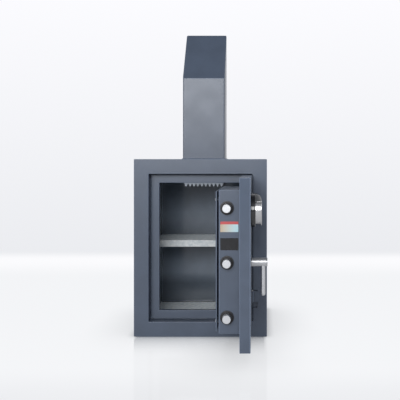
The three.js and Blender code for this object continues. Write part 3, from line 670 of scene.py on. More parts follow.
def room_shade(tree):
    """Painted shade on the room's paint: in both compartments darker low down, rising evenly with the height.
    """
    height = axis_of(tree, objects(tree), "Z")
    shelf = span("shelf")[1][2]
    lower = between(tree, height, 0.56, 1.0, 0.11, 0.155)
    upper = between(tree, height, 0.46, 1.0, shelf - 0.005, shelf + 0.09)
    return blend(tree, maths(tree, "GREATER_THAN", height, shelf - 0.01), lower, upper)


# Inside paint: the same slate paint, lightened as painted light for the room, with painted shade low down.
@finish("slate_paint")
def inside_paint():
    return paint_finish(
        "slate_paint_inside", picked("paint_inside"), 0.12, 0.00003, coarse=1.4, gloss=0.45, shade=room_shade
    )


def metal_finish(name, base, roughness, stretch, spread=SPREAD):
    """Brushed metal: streaks in gloss and height, slow clouds in the colour."""
    material, tree, shader = new_material(name, Metallic=1.0)
    streak, cloud = brushed(tree, objects(tree), stretch)
    tint = varied(tree, between(tree, cloud, 0.0, 1.0), base, 1 - spread, 1 + spread)
    feed(tree, shader, tint, between(tree, streak, roughness - 0.06, roughness + 0.08), streak, 0.00001)
    return material


def turned_finish(name, base, roughness, pitch):
    """Metal turned on a lathe: fine rings that follow the run along the profile."""
    material, tree, shader = new_material(name, Metallic=1.0)
    run = add(tree, "ShaderNodeAttribute", attribute_name="run").outputs["Fac"]
    rings = {"W": run, "Scale": 1 / pitch, "Detail": 2.0}
    ring = add(tree, "ShaderNodeTexNoise", rings, noise_dimensions="1D").outputs["Fac"]
    tint = varied(tree, between(tree, ring, 0.0, 1.0), base, 0.93, 1.05)
    feed(tree, shader, tint, between(tree, ring, roughness - 0.05, roughness + 0.07), ring, 0.000002)
    return material


@finish("bright_steel")
def bright_steel():
    return turned_finish("bright_turned_steel", picked("bright"), 0.33, 0.0006)


@finish("bright_steel")
def bolt_steel():
    return turned_finish("bolt_polished_steel", picked("bolt"), 0.34, 0.0006)


@finish("satin_chrome")
def satin_chrome():
    return turned_finish("satin_chrome_turned", picked("chrome"), 0.17, 0.0005)


@finish("bright_steel")
def lever_steel():
    return metal_finish("lever_brushed_steel", picked("bright"), 0.27, (900.0, 900.0, 30.0), 0.05)


@finish("bare_steel")
def bare_steel():
    return metal_finish("bare_sheet_steel", picked("steel"), 0.36, (500.0, 500.0, 40.0), 0.10)


# The combs deep in the throat take a dark copy of the comb steel as painted shade.
@finish("bare_steel")
def shaded_comb_steel():
    return metal_finish("comb_oiled_steel", picked("comb_oiled"), 0.4, (400.0, 400.0, 60.0))


@finish("bare_steel")
def comb_steel():
    return metal_finish("comb_bright_steel", picked("comb_bright"), 0.38, (400.0, 400.0, 60.0))


@finish("zinc_sheet")
def zinc_sheet():
    """Zinc coated sheet, made nearly white as painted light: spangle cells and a slow cloud in colour and
    gloss, and painted shade in front of the shelf's front edge.
    """
    base = picked("zinc")
    material, tree, shader = new_material("zinc_coated_sheet", Metallic=0.05)
    where = objects(tree)
    _, relief = brushed(tree, where, (30.0, 300.0, 300.0))
    cells = add(tree, "ShaderNodeTexVoronoi", {"Vector": where, "Scale": 70.0, "Randomness": 1.0})
    grain = add(tree, "ShaderNodeSeparateColor", {"Color": cells.outputs["Color"]}).outputs["Red"]
    blotch = add(tree, "ShaderNodeTexNoise", {"Vector": where, "Scale": 75.0, "Detail": 2.5}).outputs["Fac"]
    slow = varied(tree, between(tree, blotch, 0.0, 1.0, 0.35, 0.65), base, 0.80, 1.12)
    tint = blend(tree, between(tree, grain, 0.0, 0.35, 0.0, 1.0), slow, shaded(base, 0.9))
    # Painted shade: everything in front of the shelf's front edge, such as the shelf's lip, is darkened.
    front = span("shelf")[0][1]
    front_painted_shade = between(tree, axis_of(tree, where, "Y"), 0.71, 1.0, front + 0.001, front + 0.006)
    tint = blend(tree, 1.0, tint, front_painted_shade, "MULTIPLY")
    feed(tree, shader, tint, between(tree, grain, 0.44, 0.58, 0.0, 1.0), relief, 0.0002, 0.3)
    return material


def moulded(name, base, roughness, grain, **sockets):
    """Moulded plastic: a fine grain in height and gloss."""
    material, tree, shader = new_material(name, **sockets)
    peel, cloud = peeled(tree, grain, 40.0)
    tint = varied(tree, between(tree, cloud, 0.0, 1.0), base, 0.85, 1.2)
    feed(tree, shader, tint, between(tree, cloud, roughness - 0.03, roughness + 0.03), peel, 0.00002)
    return material


@finish("black_plastic")
def black_gloss():
    return moulded("black_gloss_moulding", picked("black"), 0.24, 1500.0)


@finish("black_plastic")
def ring_gloss():
    return moulded("ring_lacquered_black", picked("black"), 0.09, 1500.0, Specular_IOR_Level=0.8)


@finish("black_plastic")
def hood_grey():
    return moulded("hood_dark_grey", picked("grey_hood"), 0.4, 1500.0)


@finish("black_bush")
def black_matt():
    return moulded("black_matt_bush", picked("black"), 0.42, 1200.0)


@finish("black_plastic")
def black_stock():
    """Black label stock: a gloss film with slow clouds in its black."""
    return moulded("black_label_stock", picked("black"), 0.22, 1400.0)


@finish("black_plastic")
def pale_stock():
    """Pale label stock: warm to cool along the label, with a plain red band on top."""
    sizes = bpy.context.scene.safe_sizes
    material, tree, shader = new_material("pale_label_stock", Roughness=0.32)
    _, y, _ = door_span("boltwork_housing")
    middle = HINGE[0] - (y[0] + y[1]) / 2
    half = sizes.label_width / 2
    where = objects(tree)
    along = between(tree, axis_of(tree, where, "X"), 0.0, 1.0, middle - half, middle + half)
    pale = blend(tree, along, shaded(picked("label_cream")), shaded(picked("label_blue")))
    band_z = UPPER_LABEL_Z + sizes.red_label_height * 0.23
    band = maths(tree, "GREATER_THAN", axis_of(tree, where, "Z"), band_z)
    feed(tree, shader, blend(tree, band, pale, shaded(picked("label_red"))))
    return material


@finish("black_plastic")
def mark_white():
    """White filling of the dial's marks, with slow clouds in it."""
    material, tree, shader = new_material("marking_white", Roughness=0.5)
    _, cloud = peeled(tree, 900.0, 60.0)
    feed(tree, shader, blend(tree, between(tree, cloud, 0.0, 1.0), MARK_DULL, MARK_CLEAR))
    return material


@finish("fire_fill")
def fire_fill():
    """Cast fill: grains of stone and pores."""
    material, tree, shader = new_material("cast_fire_fill", Roughness=0.93)
    peel, cloud = peeled(tree, 160.0, 30.0)
    tint = varied(tree, between(tree, cloud, 0.0, 1.0), picked("fill"), 0.8, 1.12)
    feed(tree, shader, tint, None, peel, 0.001)
    return material


# Body: the wrap, frame and liner, the neck with its flap, the shelf and the hinges


def hinge_reliefs(axis):
    """Round cutters that leave room for the hinge barrels at a corner on the hinge axis."""
    room = 0.0028
    radius = 0.007
    leaves = [span(f"hinge_frame_leaf_{name}") for name in HINGES]
    return [rod(2, radius, (low[2] - room, high[2] + room), axis, 32) for low, high in leaves]


def neck_bar(heights, gap=0.0, steps=4):
    """A rounded bar the size of the neck and a gap wider, between two heights."""
    low, high = NECK
    half = (high[0] + gap, (high[1] - low[1]) / 2 + gap)
    corner = bpy.context.scene.safe_sizes.neck_corner
    return rectangles([(0, height) for height in heights], half, NECK_CENTRE, corner, steps)[..., [0, 2, 1]]


class SAFE_OT_body(bpy.types.Operator):
    """Build the outer wrap, the stepped front frame and the liner of the room"""
    bl_idname = "safe.body"
    bl_label = "Body"

    def execute(self, context):
        sizes = context.scene.safe_sizes
        self.front_frame(sizes)
        self.outer_wrap(sizes)
        self.room_liner(sizes)
        dress(fire_fill, "fire_fill")
        return {"FINISHED"}

    def front_frame(self, sizes):
        """Front frame: a stepped outline of (inset, depth) carried round the front as rounded rectangles."""
        back = SILL[1][1]
        seat = FRONT + sizes.rebate_depth
        lap = BODY_HALF[0] - HINGE[0]
        clear = BODY_HALF[0] + STILE[1][0]
        edge = sizes.plate_edge
        groove = sizes.seat_groove
        corners = [
            (0, back), (0, FRONT), (lap, FRONT), (lap, seat + 2 * groove), (lap + groove, seat + 2 * groove),
            (lap + groove, seat), (clear, seat), (clear, back),
        ]
        radii = [0.0004, edge, edge * 0.8, 0.0008, 0.0008, edge * 0.7, edge, 0.0006]
        stepped = plate(corners, radii, BODY_FACE, lap / 2, (sizes.wrap_edge, 0.0012), closed=True)
        nodes = ["front_stile_left", "front_stile_right", "front_sill", "front_header"]
        reliefs = hinge_reliefs((HINGE[0], HINGE[1], 0)) + self.hinge_pockets()
        put("front_frame", stepped, outside_paint, "body", nodes, reliefs)

    def hinge_pockets(self):
        """Cutters on the hinge side: the gap beside the door's edge, and a pocket behind each hinge."""
        gap = 0.004
        depth = 0.010
        below = 0.021
        above = 0.002
        _, _, heights = door_span("door_pan")
        cutters = [block((HINGE[0] - gap, HINGE[0] + gap), (FRONT - gap, FRONT + 2 * depth), heights)]
        for name in HINGES:
            low, high = span(f"hinge_frame_leaf_{name}")
            x = HINGE[0] - gap, high[0] - 0.0015
            cutters.append(block(x, (FRONT - gap, FRONT + depth), (low[2] - below, high[2] + above)))
        return cutters

    def outer_wrap(self, sizes):
        """Outer wrap: from the back's middle round to the front and back inside, with a groove behind."""
        front = span("outer_left_skin")[0][1]
        skin = sizes.skin_thickness
        groove = 0.0006
        edge = sizes.wrap_edge
        corners = [
            (MIDDLE, REAR), (skin + 2 * groove, REAR), (skin + groove, REAR - groove), (skin, REAR),
            (0, REAR), (0, front), (skin, front), (skin, REAR - skin), (MIDDLE, REAR - skin),
        ]
        wrap = plate(corners, [0, 0, 0, 0, edge, 0.0004, 0, 0.001, 0], BODY_FACE, skin / 2, (edge, 0.001))
        hole = loft(neck_bar((BACK[1][2] - 0.02, BACK[1][2] + 0.02), NECK_GAP))
        nodes = [f"outer_{side}_skin" for side in ("left", "right", "top", "bottom", "back")]
        put("outer_wrap", wrap, outside_paint, "body", nodes, [hole])

    def room_liner(self, sizes):
        """Liner: a box open to the front, with rounded corners, and a thin zinc sheet on its floor."""
        wall, rear, top, bottom = (span(f"liner_{side}") for side in ("left", "back", "top", "bottom"))
        thick = sizes.liner_thickness
        front = wall[0][1]
        back = rear[1][1]
        half = (-wall[0][0], (top[1][2] - bottom[0][2]) / 2)
        corners = [
            (MIDDLE, back), (0, back), (0, front), (thick, front), (thick, back - thick),
            (MIDDLE, back - thick),
        ]
        radii = [0, 0.003, 0.0003, 0.0003, 0.002, 0]
        liner = plate(corners, radii, (half, BODY_FACE[1]), thick / 2, (0.003, 0.002))
        hole = loft(neck_bar((top[0][2] - 0.02, top[1][2] + 0.02), NECK_GAP))
        nodes = [f"liner_{side}" for side in ("left", "right", "bottom", "top", "back")]
        put("room_liner", liner, inside_paint, "body", nodes, [hole])
        gap = 0.0006
        short = 0.026
        sheet = block(
            (-half[0] + thick + gap, half[0] - thick - gap), (front + gap, back - thick - short),
            (bottom[1][2], bottom[1][2] + 0.0012),
        )
        put("room_floor_sheet", sheet, zinc_sheet, edge=sizes.sheet_edge, steps=2)


class SAFE_OT_neck(bpy.types.Operator):
    """Build the neck with its slanted top, the bead round its foot, the combs in its throat and its baffle"""
    bl_idname = "safe.neck"
    bl_label = "Neck"

    def execute(self, context):
        sizes = context.scene.safe_sizes
        self.shell(sizes)
        self.bead(sizes)
        self.front_comb()
        for side in ("back", "left", "right"):
            softened(f"throat_comb_{side}", shaded_comb_steel, 0.0003)
        softened("neck_baffle", bare_steel, 0.0004)
        return {"FINISHED"}

    def shell(self, sizes):
        """Neck: two upright rounded tubes, their tops on planes that rise with y, and a mouth in the back."""
        low, high = NECK
        wall = sizes.neck_wall
        bottom = NECK_FRONT[0][2]
        deep = high[1] - low[1]
        slope = NECK_RISE / deep
        bend = low[2] + wall * np.hypot(deep, NECK_RISE) / deep
        thin = wall * np.hypot(1, slope)
        corner = np.array([1, 1, 4, 4]) * sizes.neck_corner / 4
        rows = [(wall, 1), (wall, bottom), (0, bottom), (0, 1)]
        grid = rectangles(rows, (high[0], deep / 2), NECK_CENTRE, corner, 6)[..., [0, 2, 1]]
        grid[3, :, 2] = bend + slope * (grid[3, :, 1] - low[1])
        grid[0, :, 2] = bend + slope * (grid[0, :, 1] - low[1]) - thin
        aside = sizes.mouth_width / 2
        opening = face_of((-aside, aside), (sizes.mouth_low, sizes.mouth_high))
        mouth = rectangles([(0, high[1] - 3 * wall), (0, high[1] + wall)], *opening, 0.003)
        nodes = [f"neck_{side}_plate" for side in ("front", "back", "left", "right")] + ["neck_slant_cap"]
        tube = loft(grid)
        neck = put("neck_shell", tube, outside_paint, "body", nodes, [loft(mouth)], edge=sizes.neck_fold)
        # The painted edge highlight stays only on the slanted top's folds; the upright corners keep the plain
        # paint.
        folded = np.abs(read(neck.data.polygons, "normal", 3)[:, 2]) > 0.1
        edge_highlight = read(neck.data.attributes["edge"].data, "value") * folded
        neck.data.attributes["edge"].data.foreach_set("value", edge_highlight.astype(np.float32))

    def front_comb(self):
        """Front comb: a strip whose lower edge falls and rises evenly, so that ten full teeth hang down."""
        low, high = span("throat_comb_front")
        points = 2 * COMB_TEETH + 1
        across = low[0] + (high[0] - low[0]) * np.linspace(0, 1, points)
        fall = np.where(np.arange(points) % 2 == 0, low[2] + COMB_DEPTH, low[2])
        top = [(high[0], high[2]), (low[0], high[2])]
        strip = carried(np.concatenate([np.stack([across, fall], -1), top]), (low[1], high[1]), 1)
        put("comb_front", strip, comb_steel, "body", ["throat_comb_front"], edge=0.0003, steps=2)

    def bead(self, sizes):
        """Weld bead: a tube round the neck's foot whose radius swells and shrinks with each ripple."""
        radius = sizes.weld_leg
        ripple = 0.10
        pitch = 0.0045
        path = evenly(neck_bar([DECK], radius * 0.15, 8)[0], 900)
        step = np.roll(path, -1, 0) - np.roll(path, 1, 0)
        outward = np.stack([step[:, 1], -step[:, 0], step[:, 2]], -1)
        outward /= np.linalg.norm(outward, axis=1, keepdims=True)
        along = np.cumsum(np.linalg.norm(np.roll(path, -1, 0) - path, axis=1))
        swell = radius * (1 + ripple * np.cos(FULL * along / pitch))
        angle = np.linspace(0, FULL, 12, endpoint=False)
        grid = path[None] + outward[None] * np.cos(angle)[:, None, None] * swell[None, :, None]
        grid[..., 2] += np.sin(angle)[:, None] * swell[None] * 0.8
        put("neck_weld", loft(grid, "wrap"), outside_paint)


def evenly(loop, count):
    """A closed loop's points at equal steps of its length."""
    closed = np.concatenate([loop, loop[:1]])
    steps = np.linalg.norm(np.diff(closed, axis=0), axis=1)
    run = np.concatenate([[0], np.cumsum(steps)])
    at = np.linspace(0, run[-1], count, endpoint=False)
    return np.stack([np.interp(at, run, closed[:, axis]) for axis in range(3)], -1)


class SAFE_OT_flap(bpy.types.Operator):
    """Build the deposit flap on the neck's back, with its bracket and pin"""
    bl_idname = "safe.flap"
    bl_label = "Deposit flap"

    def execute(self, context):
        softened("deposit_flap", outside_paint, 0.0006)
        softened("flap_hinge_bracket", outside_paint, 0.0006)
        low, high = span("flap_hinge_pin")
        radius = (high[2] - low[2]) / 2
        edge = 0.0006
        corners = [(0, low[0]), (radius, low[0]), (radius, high[0]), (0, high[0])]
        pin = spun(corners, [0, edge, edge, 0], (0, FLAP[1], FLAP[2]), 0, 32, "poles")
        put("flap_pin", pin, bright_steel, "body", ["flap_hinge_pin"])
        return {"FINISHED"}


class SAFE_OT_shelf(bpy.types.Operator):
    """Build the bent shelf and its brackets"""
    bl_idname = "safe.shelf"
    bl_label = "Shelf"

    def execute(self, context):
        sizes = context.scene.safe_sizes
        low, high = span("shelf")
        thick = 0.002
        bend = sizes.shelf_bend
        corners = [
            (low[1], low[2]), (low[1], high[2]), (high[1], high[2]), (high[1], high[2] - thick),
            (low[1] + thick, high[2] - thick), (low[1] + thick, low[2]),
        ]
        sheet = carried(filleted(corners, [0, bend, 0, 0, bend - thick, 0], 6), (low[0], high[0]), 0)
        put("shelf_sheet", sheet, zinc_sheet, "body", ["shelf"], edge=sizes.sheet_edge, steps=2)
        for side in ("left", "right"):
            softened(f"shelf_bracket_{side}", inside_paint, 0.0004)
        return {"FINISHED"}


class SAFE_OT_hinges(bpy.types.Operator):
    """Build the two door hinges with their pins"""
    bl_idname = "safe.hinges"
    bl_label = "Hinges"

    def execute(self, context):
        edge = 0.0007
        stem = 0.0035
        head = 0.005
        for name in HINGES:
            softened(f"hinge_frame_leaf_{name}", outside_paint, 0.0006)
            softened(f"hinge_door_leaf_{name}", outside_paint, 0.0006)
            low, high = span(f"hinge_pin_{name}")
            neck = high[2] - 0.002
            corners = [(0, low[2]), (stem, low[2]), (stem, neck), (head, neck), (head, high[2]), (0, high[2])]
            pin = spun(corners, [0, edge, 0, 0.0003, edge, 0], (HINGE[0], HINGE[1], 0), 2, 32, "poles")
            put(f"door_pin_{name}", pin, bright_steel, "body", [f"hinge_pin_{name}"])
        return {"FINISHED"}


# Door: all of it is drawn in the door's own axes, with the door shut


class SAFE_OT_door(bpy.types.Operator):
    """Build the door pan, its inner plate and the dead bar on its hinge side"""
    bl_idname = "safe.door"
    bl_label = "Door"

    def execute(self, context):
        sizes = context.scene.safe_sizes
        x, y, z = door_span("door_pan")
        half, centre = face_of(x, z)
        rim = sizes.door_rim
        edge = sizes.door_edge
        through = (-0.01, 0.05)
        shafts = ((0.0084, HANDLE[2]), (0.0044, DIAL[2]))
        bores = [rod(1, radius, through, (DIAL_X, 0, height)) for radius, height in shafts]
        corners = [(MIDDLE, 0), (0, 0), (0, y[1]), (rim, y[1]), (rim, rim), (MIDDLE, rim)]
        pan = plate(corners, [0, edge, edge * 0.6, 0.0004, 0, 0], (half, centre), rim / 2, (0.0012, 0.0006))
        put("door_shell", pan, door_paint, "door", ["door_pan"], bores + hinge_reliefs((0, 0, 0)))
        x, y, z = door_span("door_inner_plate")
        half, _ = face_of(x, z)
        corners = [(MIDDLE, y[0]), (0, y[0]), (0, y[1]), (MIDDLE, y[1])]
        inner = plate(corners, [0, 0, 0.0005, 0], (half, centre), 0, (0.0006, 0.0006))
        put("door_back_plate", inner, outside_paint, "door", ["door_inner_plate"], bores)
        softened("hinge_side_dead_bar", bare_steel, 0.0008)
        dress(fire_fill, "door_fire_fill")
        return {"FINISHED"}


def bolt_line(name):
    """A point on a bolt's axis, in the door's own axes."""
    _, y, z = door_span(f"bolt_{name}")
    return 0, (y[0] + y[1]) / 2, (z[0] + z[1]) / 2


class SAFE_OT_boltwork(bpy.types.Operator):
    """Build the boltwork housing with its cover plate, the bolts, their bushes and the lock inside"""
    bl_idname = "safe.boltwork"
    bl_label = "Boltwork"

    def execute(self, context):
        self.housing(context.scene.safe_sizes)
        self.cover()
        for name in BOLTS:
            self.bush(name)
            self.bolt(name)
        dress(bare_steel, "bolt_bar", "handle_shaft")
        dress(bright_steel, "dial_spindle")
        dress(zinc_sheet, "lock_case")
        return {"FINISHED"}

    def housing(self, sizes):
        """Housing: from the closed face's middle over the bend to the open side, and back inside."""
        x, y, z = door_span("boltwork_housing")
        sheet = sizes.box_sheet
        bend = sizes.box_bend
        corners = [
            (MIDDLE, y[1]), (0, y[1]), (0, y[0]), (sheet, y[0]), (sheet, y[1] - sheet),
            (MIDDLE, y[1] - sheet),
        ]
        radii = [0, bend, 0.0004, 0.0004, bend - sheet, 0]
        box = plate(corners, radii, face_of(x, z), sheet / 2, (0.0022, 0.0004), 5)
        holes = [rod(0, 0.0173, (x[0] - 0.01, x[0] + 0.01), bolt_line(name)) for name in BOLTS]
        put("boltwork_box", box, outside_paint, "door", ["boltwork_housing"], holes)

    def cover(self):
        """Cover plate: a thin plate with rounded edges on four six-sided spacers, each with a screw head."""
        x, y, z = door_span("housing_cover_plate")
        middle = 0.02
        edge = 0.0008
        inset = 0.026
        face = y[1]
        back = face - 0.0040
        corners = [(middle, back), (0, back), (0, face), (middle, face)]
        outline = filleted(corners, [0, edge, edge, 0], 3, False)
        parts = [loft(rectangles(outline, *face_of(x, z), 0.003, 5))]
        places = [(sx, sz) for sx in (x[0] + inset, x[1] - inset) for sz in (z[0] + inset, z[1] - inset)]
        parts += [rod(1, 0.006, (y[0], back + 0.001), (sx, 0, sz), 6) for sx, sz in places]
        heads = [screw_head((sx, face, sz), 1, 0.0055, 0.0028) for sx, sz in places]
        put("housing_cover", joined(*parts), outside_paint, "door", ["housing_cover_plate"])
        put("cover_screws", joined(*heads), bright_steel, "door")

    def bush(self, name):
        """Bush: a flange with a raised collar round the bolt and a body through the housing's wall."""
        (face, end), _, _ = door_span(f"bolt_bush_{name}")
        bore = 0.0131
        collar = 0.0162
        flange = 0.0205
        body = 0.017
        corners = [
            (bore, face - 0.0012), (collar, face - 0.0012), (collar + 0.0008, face + 0.0004),
            (flange, face + 0.0008), (flange, face + 0.003), (body, face + 0.003), (body, end), (bore, end),
        ]
        radii = [0.0005, 0.0005, 0.0005, 0.0007, 0.0002, 0, 0.0004, 0.0004]
        surface = spun(corners, radii, bolt_line(name), 0)
        put(f"bush_{name}", surface, black_matt, "door", [f"bolt_bush_{name}"])

    def bolt(self, name):
        """Bolt: a turned bar with a chamfered tip and a shallow ring groove behind it."""
        (tip, end), _, _ = door_span(f"bolt_{name}")
        radius = 0.0127
        edge = 0.0009
        groove = 0.0008
        corners = [
            (0, tip), (radius - edge, tip), (radius, tip + edge), (radius, tip + 0.009),
            (radius - groove, tip + 0.0095), (radius - groove, tip + 0.0105), (radius, tip + 0.011),
            (radius, end), (0, end),
        ]
        radii = [0, 0.0004, 0.0004, 0.0002, 0.0002, 0.0002, 0.0002, 0.0004, 0]
        bar = spun(corners, radii, bolt_line(name), 0, 64, "poles")
        put(f"round_bolt_{name}", bar, bolt_steel, "bolts", [f"bolt_{name}"])


def screw_head(place, axis, radius, rise):
    """A domed head with a round recess, turned about its axis, standing out from its place."""
    socket = radius * 0.5
    under = -0.0002
    corners = [
        (0, rise * 0.45), (socket, rise * 0.45), (socket, rise), (radius * 0.75, rise), (radius, rise * 0.35),
        (radius, under), (0, under),
    ]
    return spun(corners, [0, 0, 0.0002, 0.0006, 0.0006, 0, 0], place, axis, 24, "poles")


def outwards(surface, z):
    """Dial axes to door axes on the handle's line: across is x, out of the door is against y, and up is z."""
    points, faces, run = surface
    across, out, up = np.moveaxis(np.asarray(points, float), -1, 0)
    return np.stack([across + DIAL_X, -out, up + z], -1), faces, run


def turned_out(corners, radii, z, sides, ends, steps):
    """A filleted outline of (radius, out) turned about an axis that runs out of the door's face."""
    return outwards(spun(corners, radii, (0, 0, 0), 1, sides, ends, steps), z)


class SAFE_OT_dial(bpy.types.Operator):
    """Build the dial ring with its hood, the shroud, and the dial with its knob, ticks and numbers"""
    bl_idname = "safe.dial"
    bl_label = "Dial"

    def execute(self, context):
        sizes = context.scene.safe_sizes
        self.ring()
        self.shroud()
        self.disc()
        self.knob(sizes.knob_flutes)
        self.marks()
        return {"FINISHED"}

    def above(self, height):
        """A cutter over everything round the dial that is higher than its centre by this much."""
        z = DIAL[2]
        return block((DIAL_X - 0.06, DIAL_X + 0.06), (-0.05, 0.0), (z + height, z + 0.06))

    def ring(self):
        """Ring: a turned dish; hood: a convex quarter arc turned with it and kept only above its chord."""
        bore = 0.0044
        well = 0.0388
        outer = 0.051
        foot = 0.0003
        dish = 0.0024
        rim = 0.013
        corners = [(bore, foot), (outer, foot), (outer, rim), (well, rim), (well, dish), (bore, dish)]
        ring = turned_out(corners, [0, 0.0004, 0.0022, 0.0008, 0.0004, 0], DIAL[2], 96, "wrap", 5)
        put("dial_dish", ring, ring_gloss, "door", ["dial_ring"])
        angle = np.linspace(0, QUARTER, 13)
        over, under = (
            np.stack([radius - 0.019 * (1 - np.cos(angle)), 0.012 + rise * np.sin(angle)], -1)
            for radius, rise in ((0.0505, 0.0196), (0.0475, 0.0166))
        )
        hood = outwards(turned(np.concatenate([over, under[::-1]]), (0, 0, 0), 1, 96), DIAL[2])
        put("dial_hood", hood, hood_grey, "door", keep=[self.above(0.0293)], edge=0.0006)

    def shroud(self):
        """Shroud: a turned wall round the dial, open above the hood's chord, with a round lip at each end."""
        inner = 0.0425
        outer = 0.0465
        foot = 0.0133
        top = 0.0326
        chord = 0.029
        corners = [(inner, foot), (outer, foot), (outer, top), (inner, top)]
        wall = turned_out(corners, [0.0003, 0.0003, 0.0018, 0.0008], DIAL[2], 128, "wrap", 5)
        cut = self.above(chord)
        put("chrome_shroud", wall, satin_chrome, "door", ["dial_shroud"], [cut], edge=0.0004, steps=2)
        lip = 0.0014
        corners = [(0, -0.0318), (lip, -0.0318), (lip, -0.0134), (0, -0.0134)]
        reach = np.sqrt(outer ** 2 - chord ** 2)
        places = [(DIAL_X + side * reach, 0, DIAL[2] + chord - 0.0005) for side in (-1, 1)]
        lips = [spun(corners, [0, 0.0005, 0.0005, 0], place, 1, 24, "poles") for place in places]
        put("shroud_lips", joined(*lips), satin_chrome, "door")

    def disc(self):
        """Disc: turned, with a sloped skirt and a raised seat for the knob."""
        corners = [
            (0, 0.0032), (0.038, 0.0032), (0.038, 0.0062), (0.034, 0.0092), (0.021, 0.0092), (0.019, 0.0104),
            (0.0175, 0.0104), (0, 0.0104),
        ]
        radii = [0, 0.0004, 0.0005, 0.0006, 0.0006, 0.0006, 0, 0]
        disc = turned_out(corners, radii, DIAL[2], 128, "poles", 4)
        put("dial_disc", disc, black_gloss, "dial", ["dial"])

    def knob(self, flutes):
        """Knob: turned, and its radius waves with the angle; the wave fades out at both ends."""
        sides = flutes * 10
        foot = 0.0095
        start = 0.0105
        sunk = 0.0252
        top = 0.0262
        angle = np.linspace(0, FULL, sides, endpoint=False)
        corners = [(0, foot), (0.0182, foot), (0.0182, top), (0.0125, top), (0.0118, sunk), (0, sunk)]
        radius, out = filleted(corners, [0, 0, 0.0022, 0.0004, 0.0004, 0], 6, False).T
        rise = (out - start) / (top - start)
        fade = np.clip(4 * rise, 0, 1) * np.clip(6 * (1 - rise), 0, 1) * (radius > 0.0165)
        wave = 0.0008 * fade[:, None] * np.abs(np.cos(flutes / 2 * angle)) ** 1.5
        reach = radius[:, None] - 0.0004 * (fade > 0)[:, None] + wave
        grid = np.stack([reach * np.sin(angle), np.repeat(out[:, None], sides, 1), reach * np.cos(angle)], -1)
        knob = outwards(loft(grid, "poles", np.linspace(0, 0.03, len(out))), DIAL[2])
        put("dial_knob", knob, black_gloss, "dial")

    def marks(self):
        """Marks: bars spread evenly round the skirt, every tenth longer, with plain numbers inside them."""
        count = 100
        number = np.arange(count)
        tens = number % 10 == 0
        inner = np.where(tens, 0.0322, np.where(number % 5 == 0, 0.0338, 0.0352))
        angle = np.linspace(0, FULL, count, endpoint=False)
        ticks = self.bars(angle, inner, np.full(count, 0.0374), np.where(tens, 0.00045, 0.00025))
        figures = [self.figure(str(ten), FULL * ten / count) for ten in range(0, count, 10)]
        put("dial_marks", outwards(joined(ticks, *figures), DIAL[2]), mark_white, "dial")
        index = [np.array([value]) for value in (0.0, 0.0392, 0.0445, 0.0006)]
        put("index_mark", outwards(self.bars(*index, 0.0131, 0.0131), DIAL[2]), mark_white, "door")

    def bars(self, angle, inner, outer, half, inner_out=SKIRT_OUT, outer_out=0.00675):
        """A bar for each angle: eight corners between two radii, off the skirt, which falls to its rim."""
        radial = np.stack([np.sin(angle), np.zeros_like(angle), np.cos(angle)], -1)
        side = np.stack([np.cos(angle), np.zeros_like(angle), -np.sin(angle)], -1)
        corners = []
        for up in (-0.0002, 0.00015):
            for reach in (inner, outer):
                for sign in (-1, 1):
                    point = radial * reach[:, None] + side * (sign * half)[:, None]
                    point[:, 1] += np.interp(reach, [0.034, 0.038], [inner_out, outer_out - 0.0005]) + up
                    corners.append(point)
        points = np.stack(corners, 1).reshape(-1, 3)
        box = np.array([[0, 1, 3, 2], [4, 6, 7, 5], [0, 4, 5, 1], [2, 3, 7, 6], [0, 2, 6, 4], [1, 5, 7, 3]])
        faces = (box[None] + 8 * np.arange(len(angle))[:, None, None]).reshape(-1, 4).tolist()
        return points, faces, np.zeros(len(points))

    def figure(self, text, turn):
        """A number made a mesh, moved out to its ring and turned to its place."""
        ring = 0.0282
        curve = bpy.data.curves.new(f"figure_{text}", "FONT")
        curve.body = text
        curve.size = 0.0052
        curve.align_x = "CENTER"
        curve.align_y = "CENTER"
        curve.extrude = 0.0002
        curve.resolution_u = 3
        made = shown("figure", curve)
        bpy.context.view_layer.update()
        graph = bpy.context.evaluated_depsgraph_get()
        mesh = bpy.data.meshes.new_from_object(made.evaluated_get(graph))
        across, up, out = read(mesh.vertices, "co", 3).T
        faces = [list(face.vertices) for face in mesh.polygons]
        bpy.data.objects.remove(made)
        bpy.data.meshes.remove(mesh)
        bpy.data.curves.remove(curve)
        up = up + ring
        points = np.stack([
            across * np.cos(turn) + up * np.sin(turn),
            out + SKIRT_OUT,
            up * np.cos(turn) - across * np.sin(turn),
        ], -1)
        return points, faces, np.zeros(len(points))


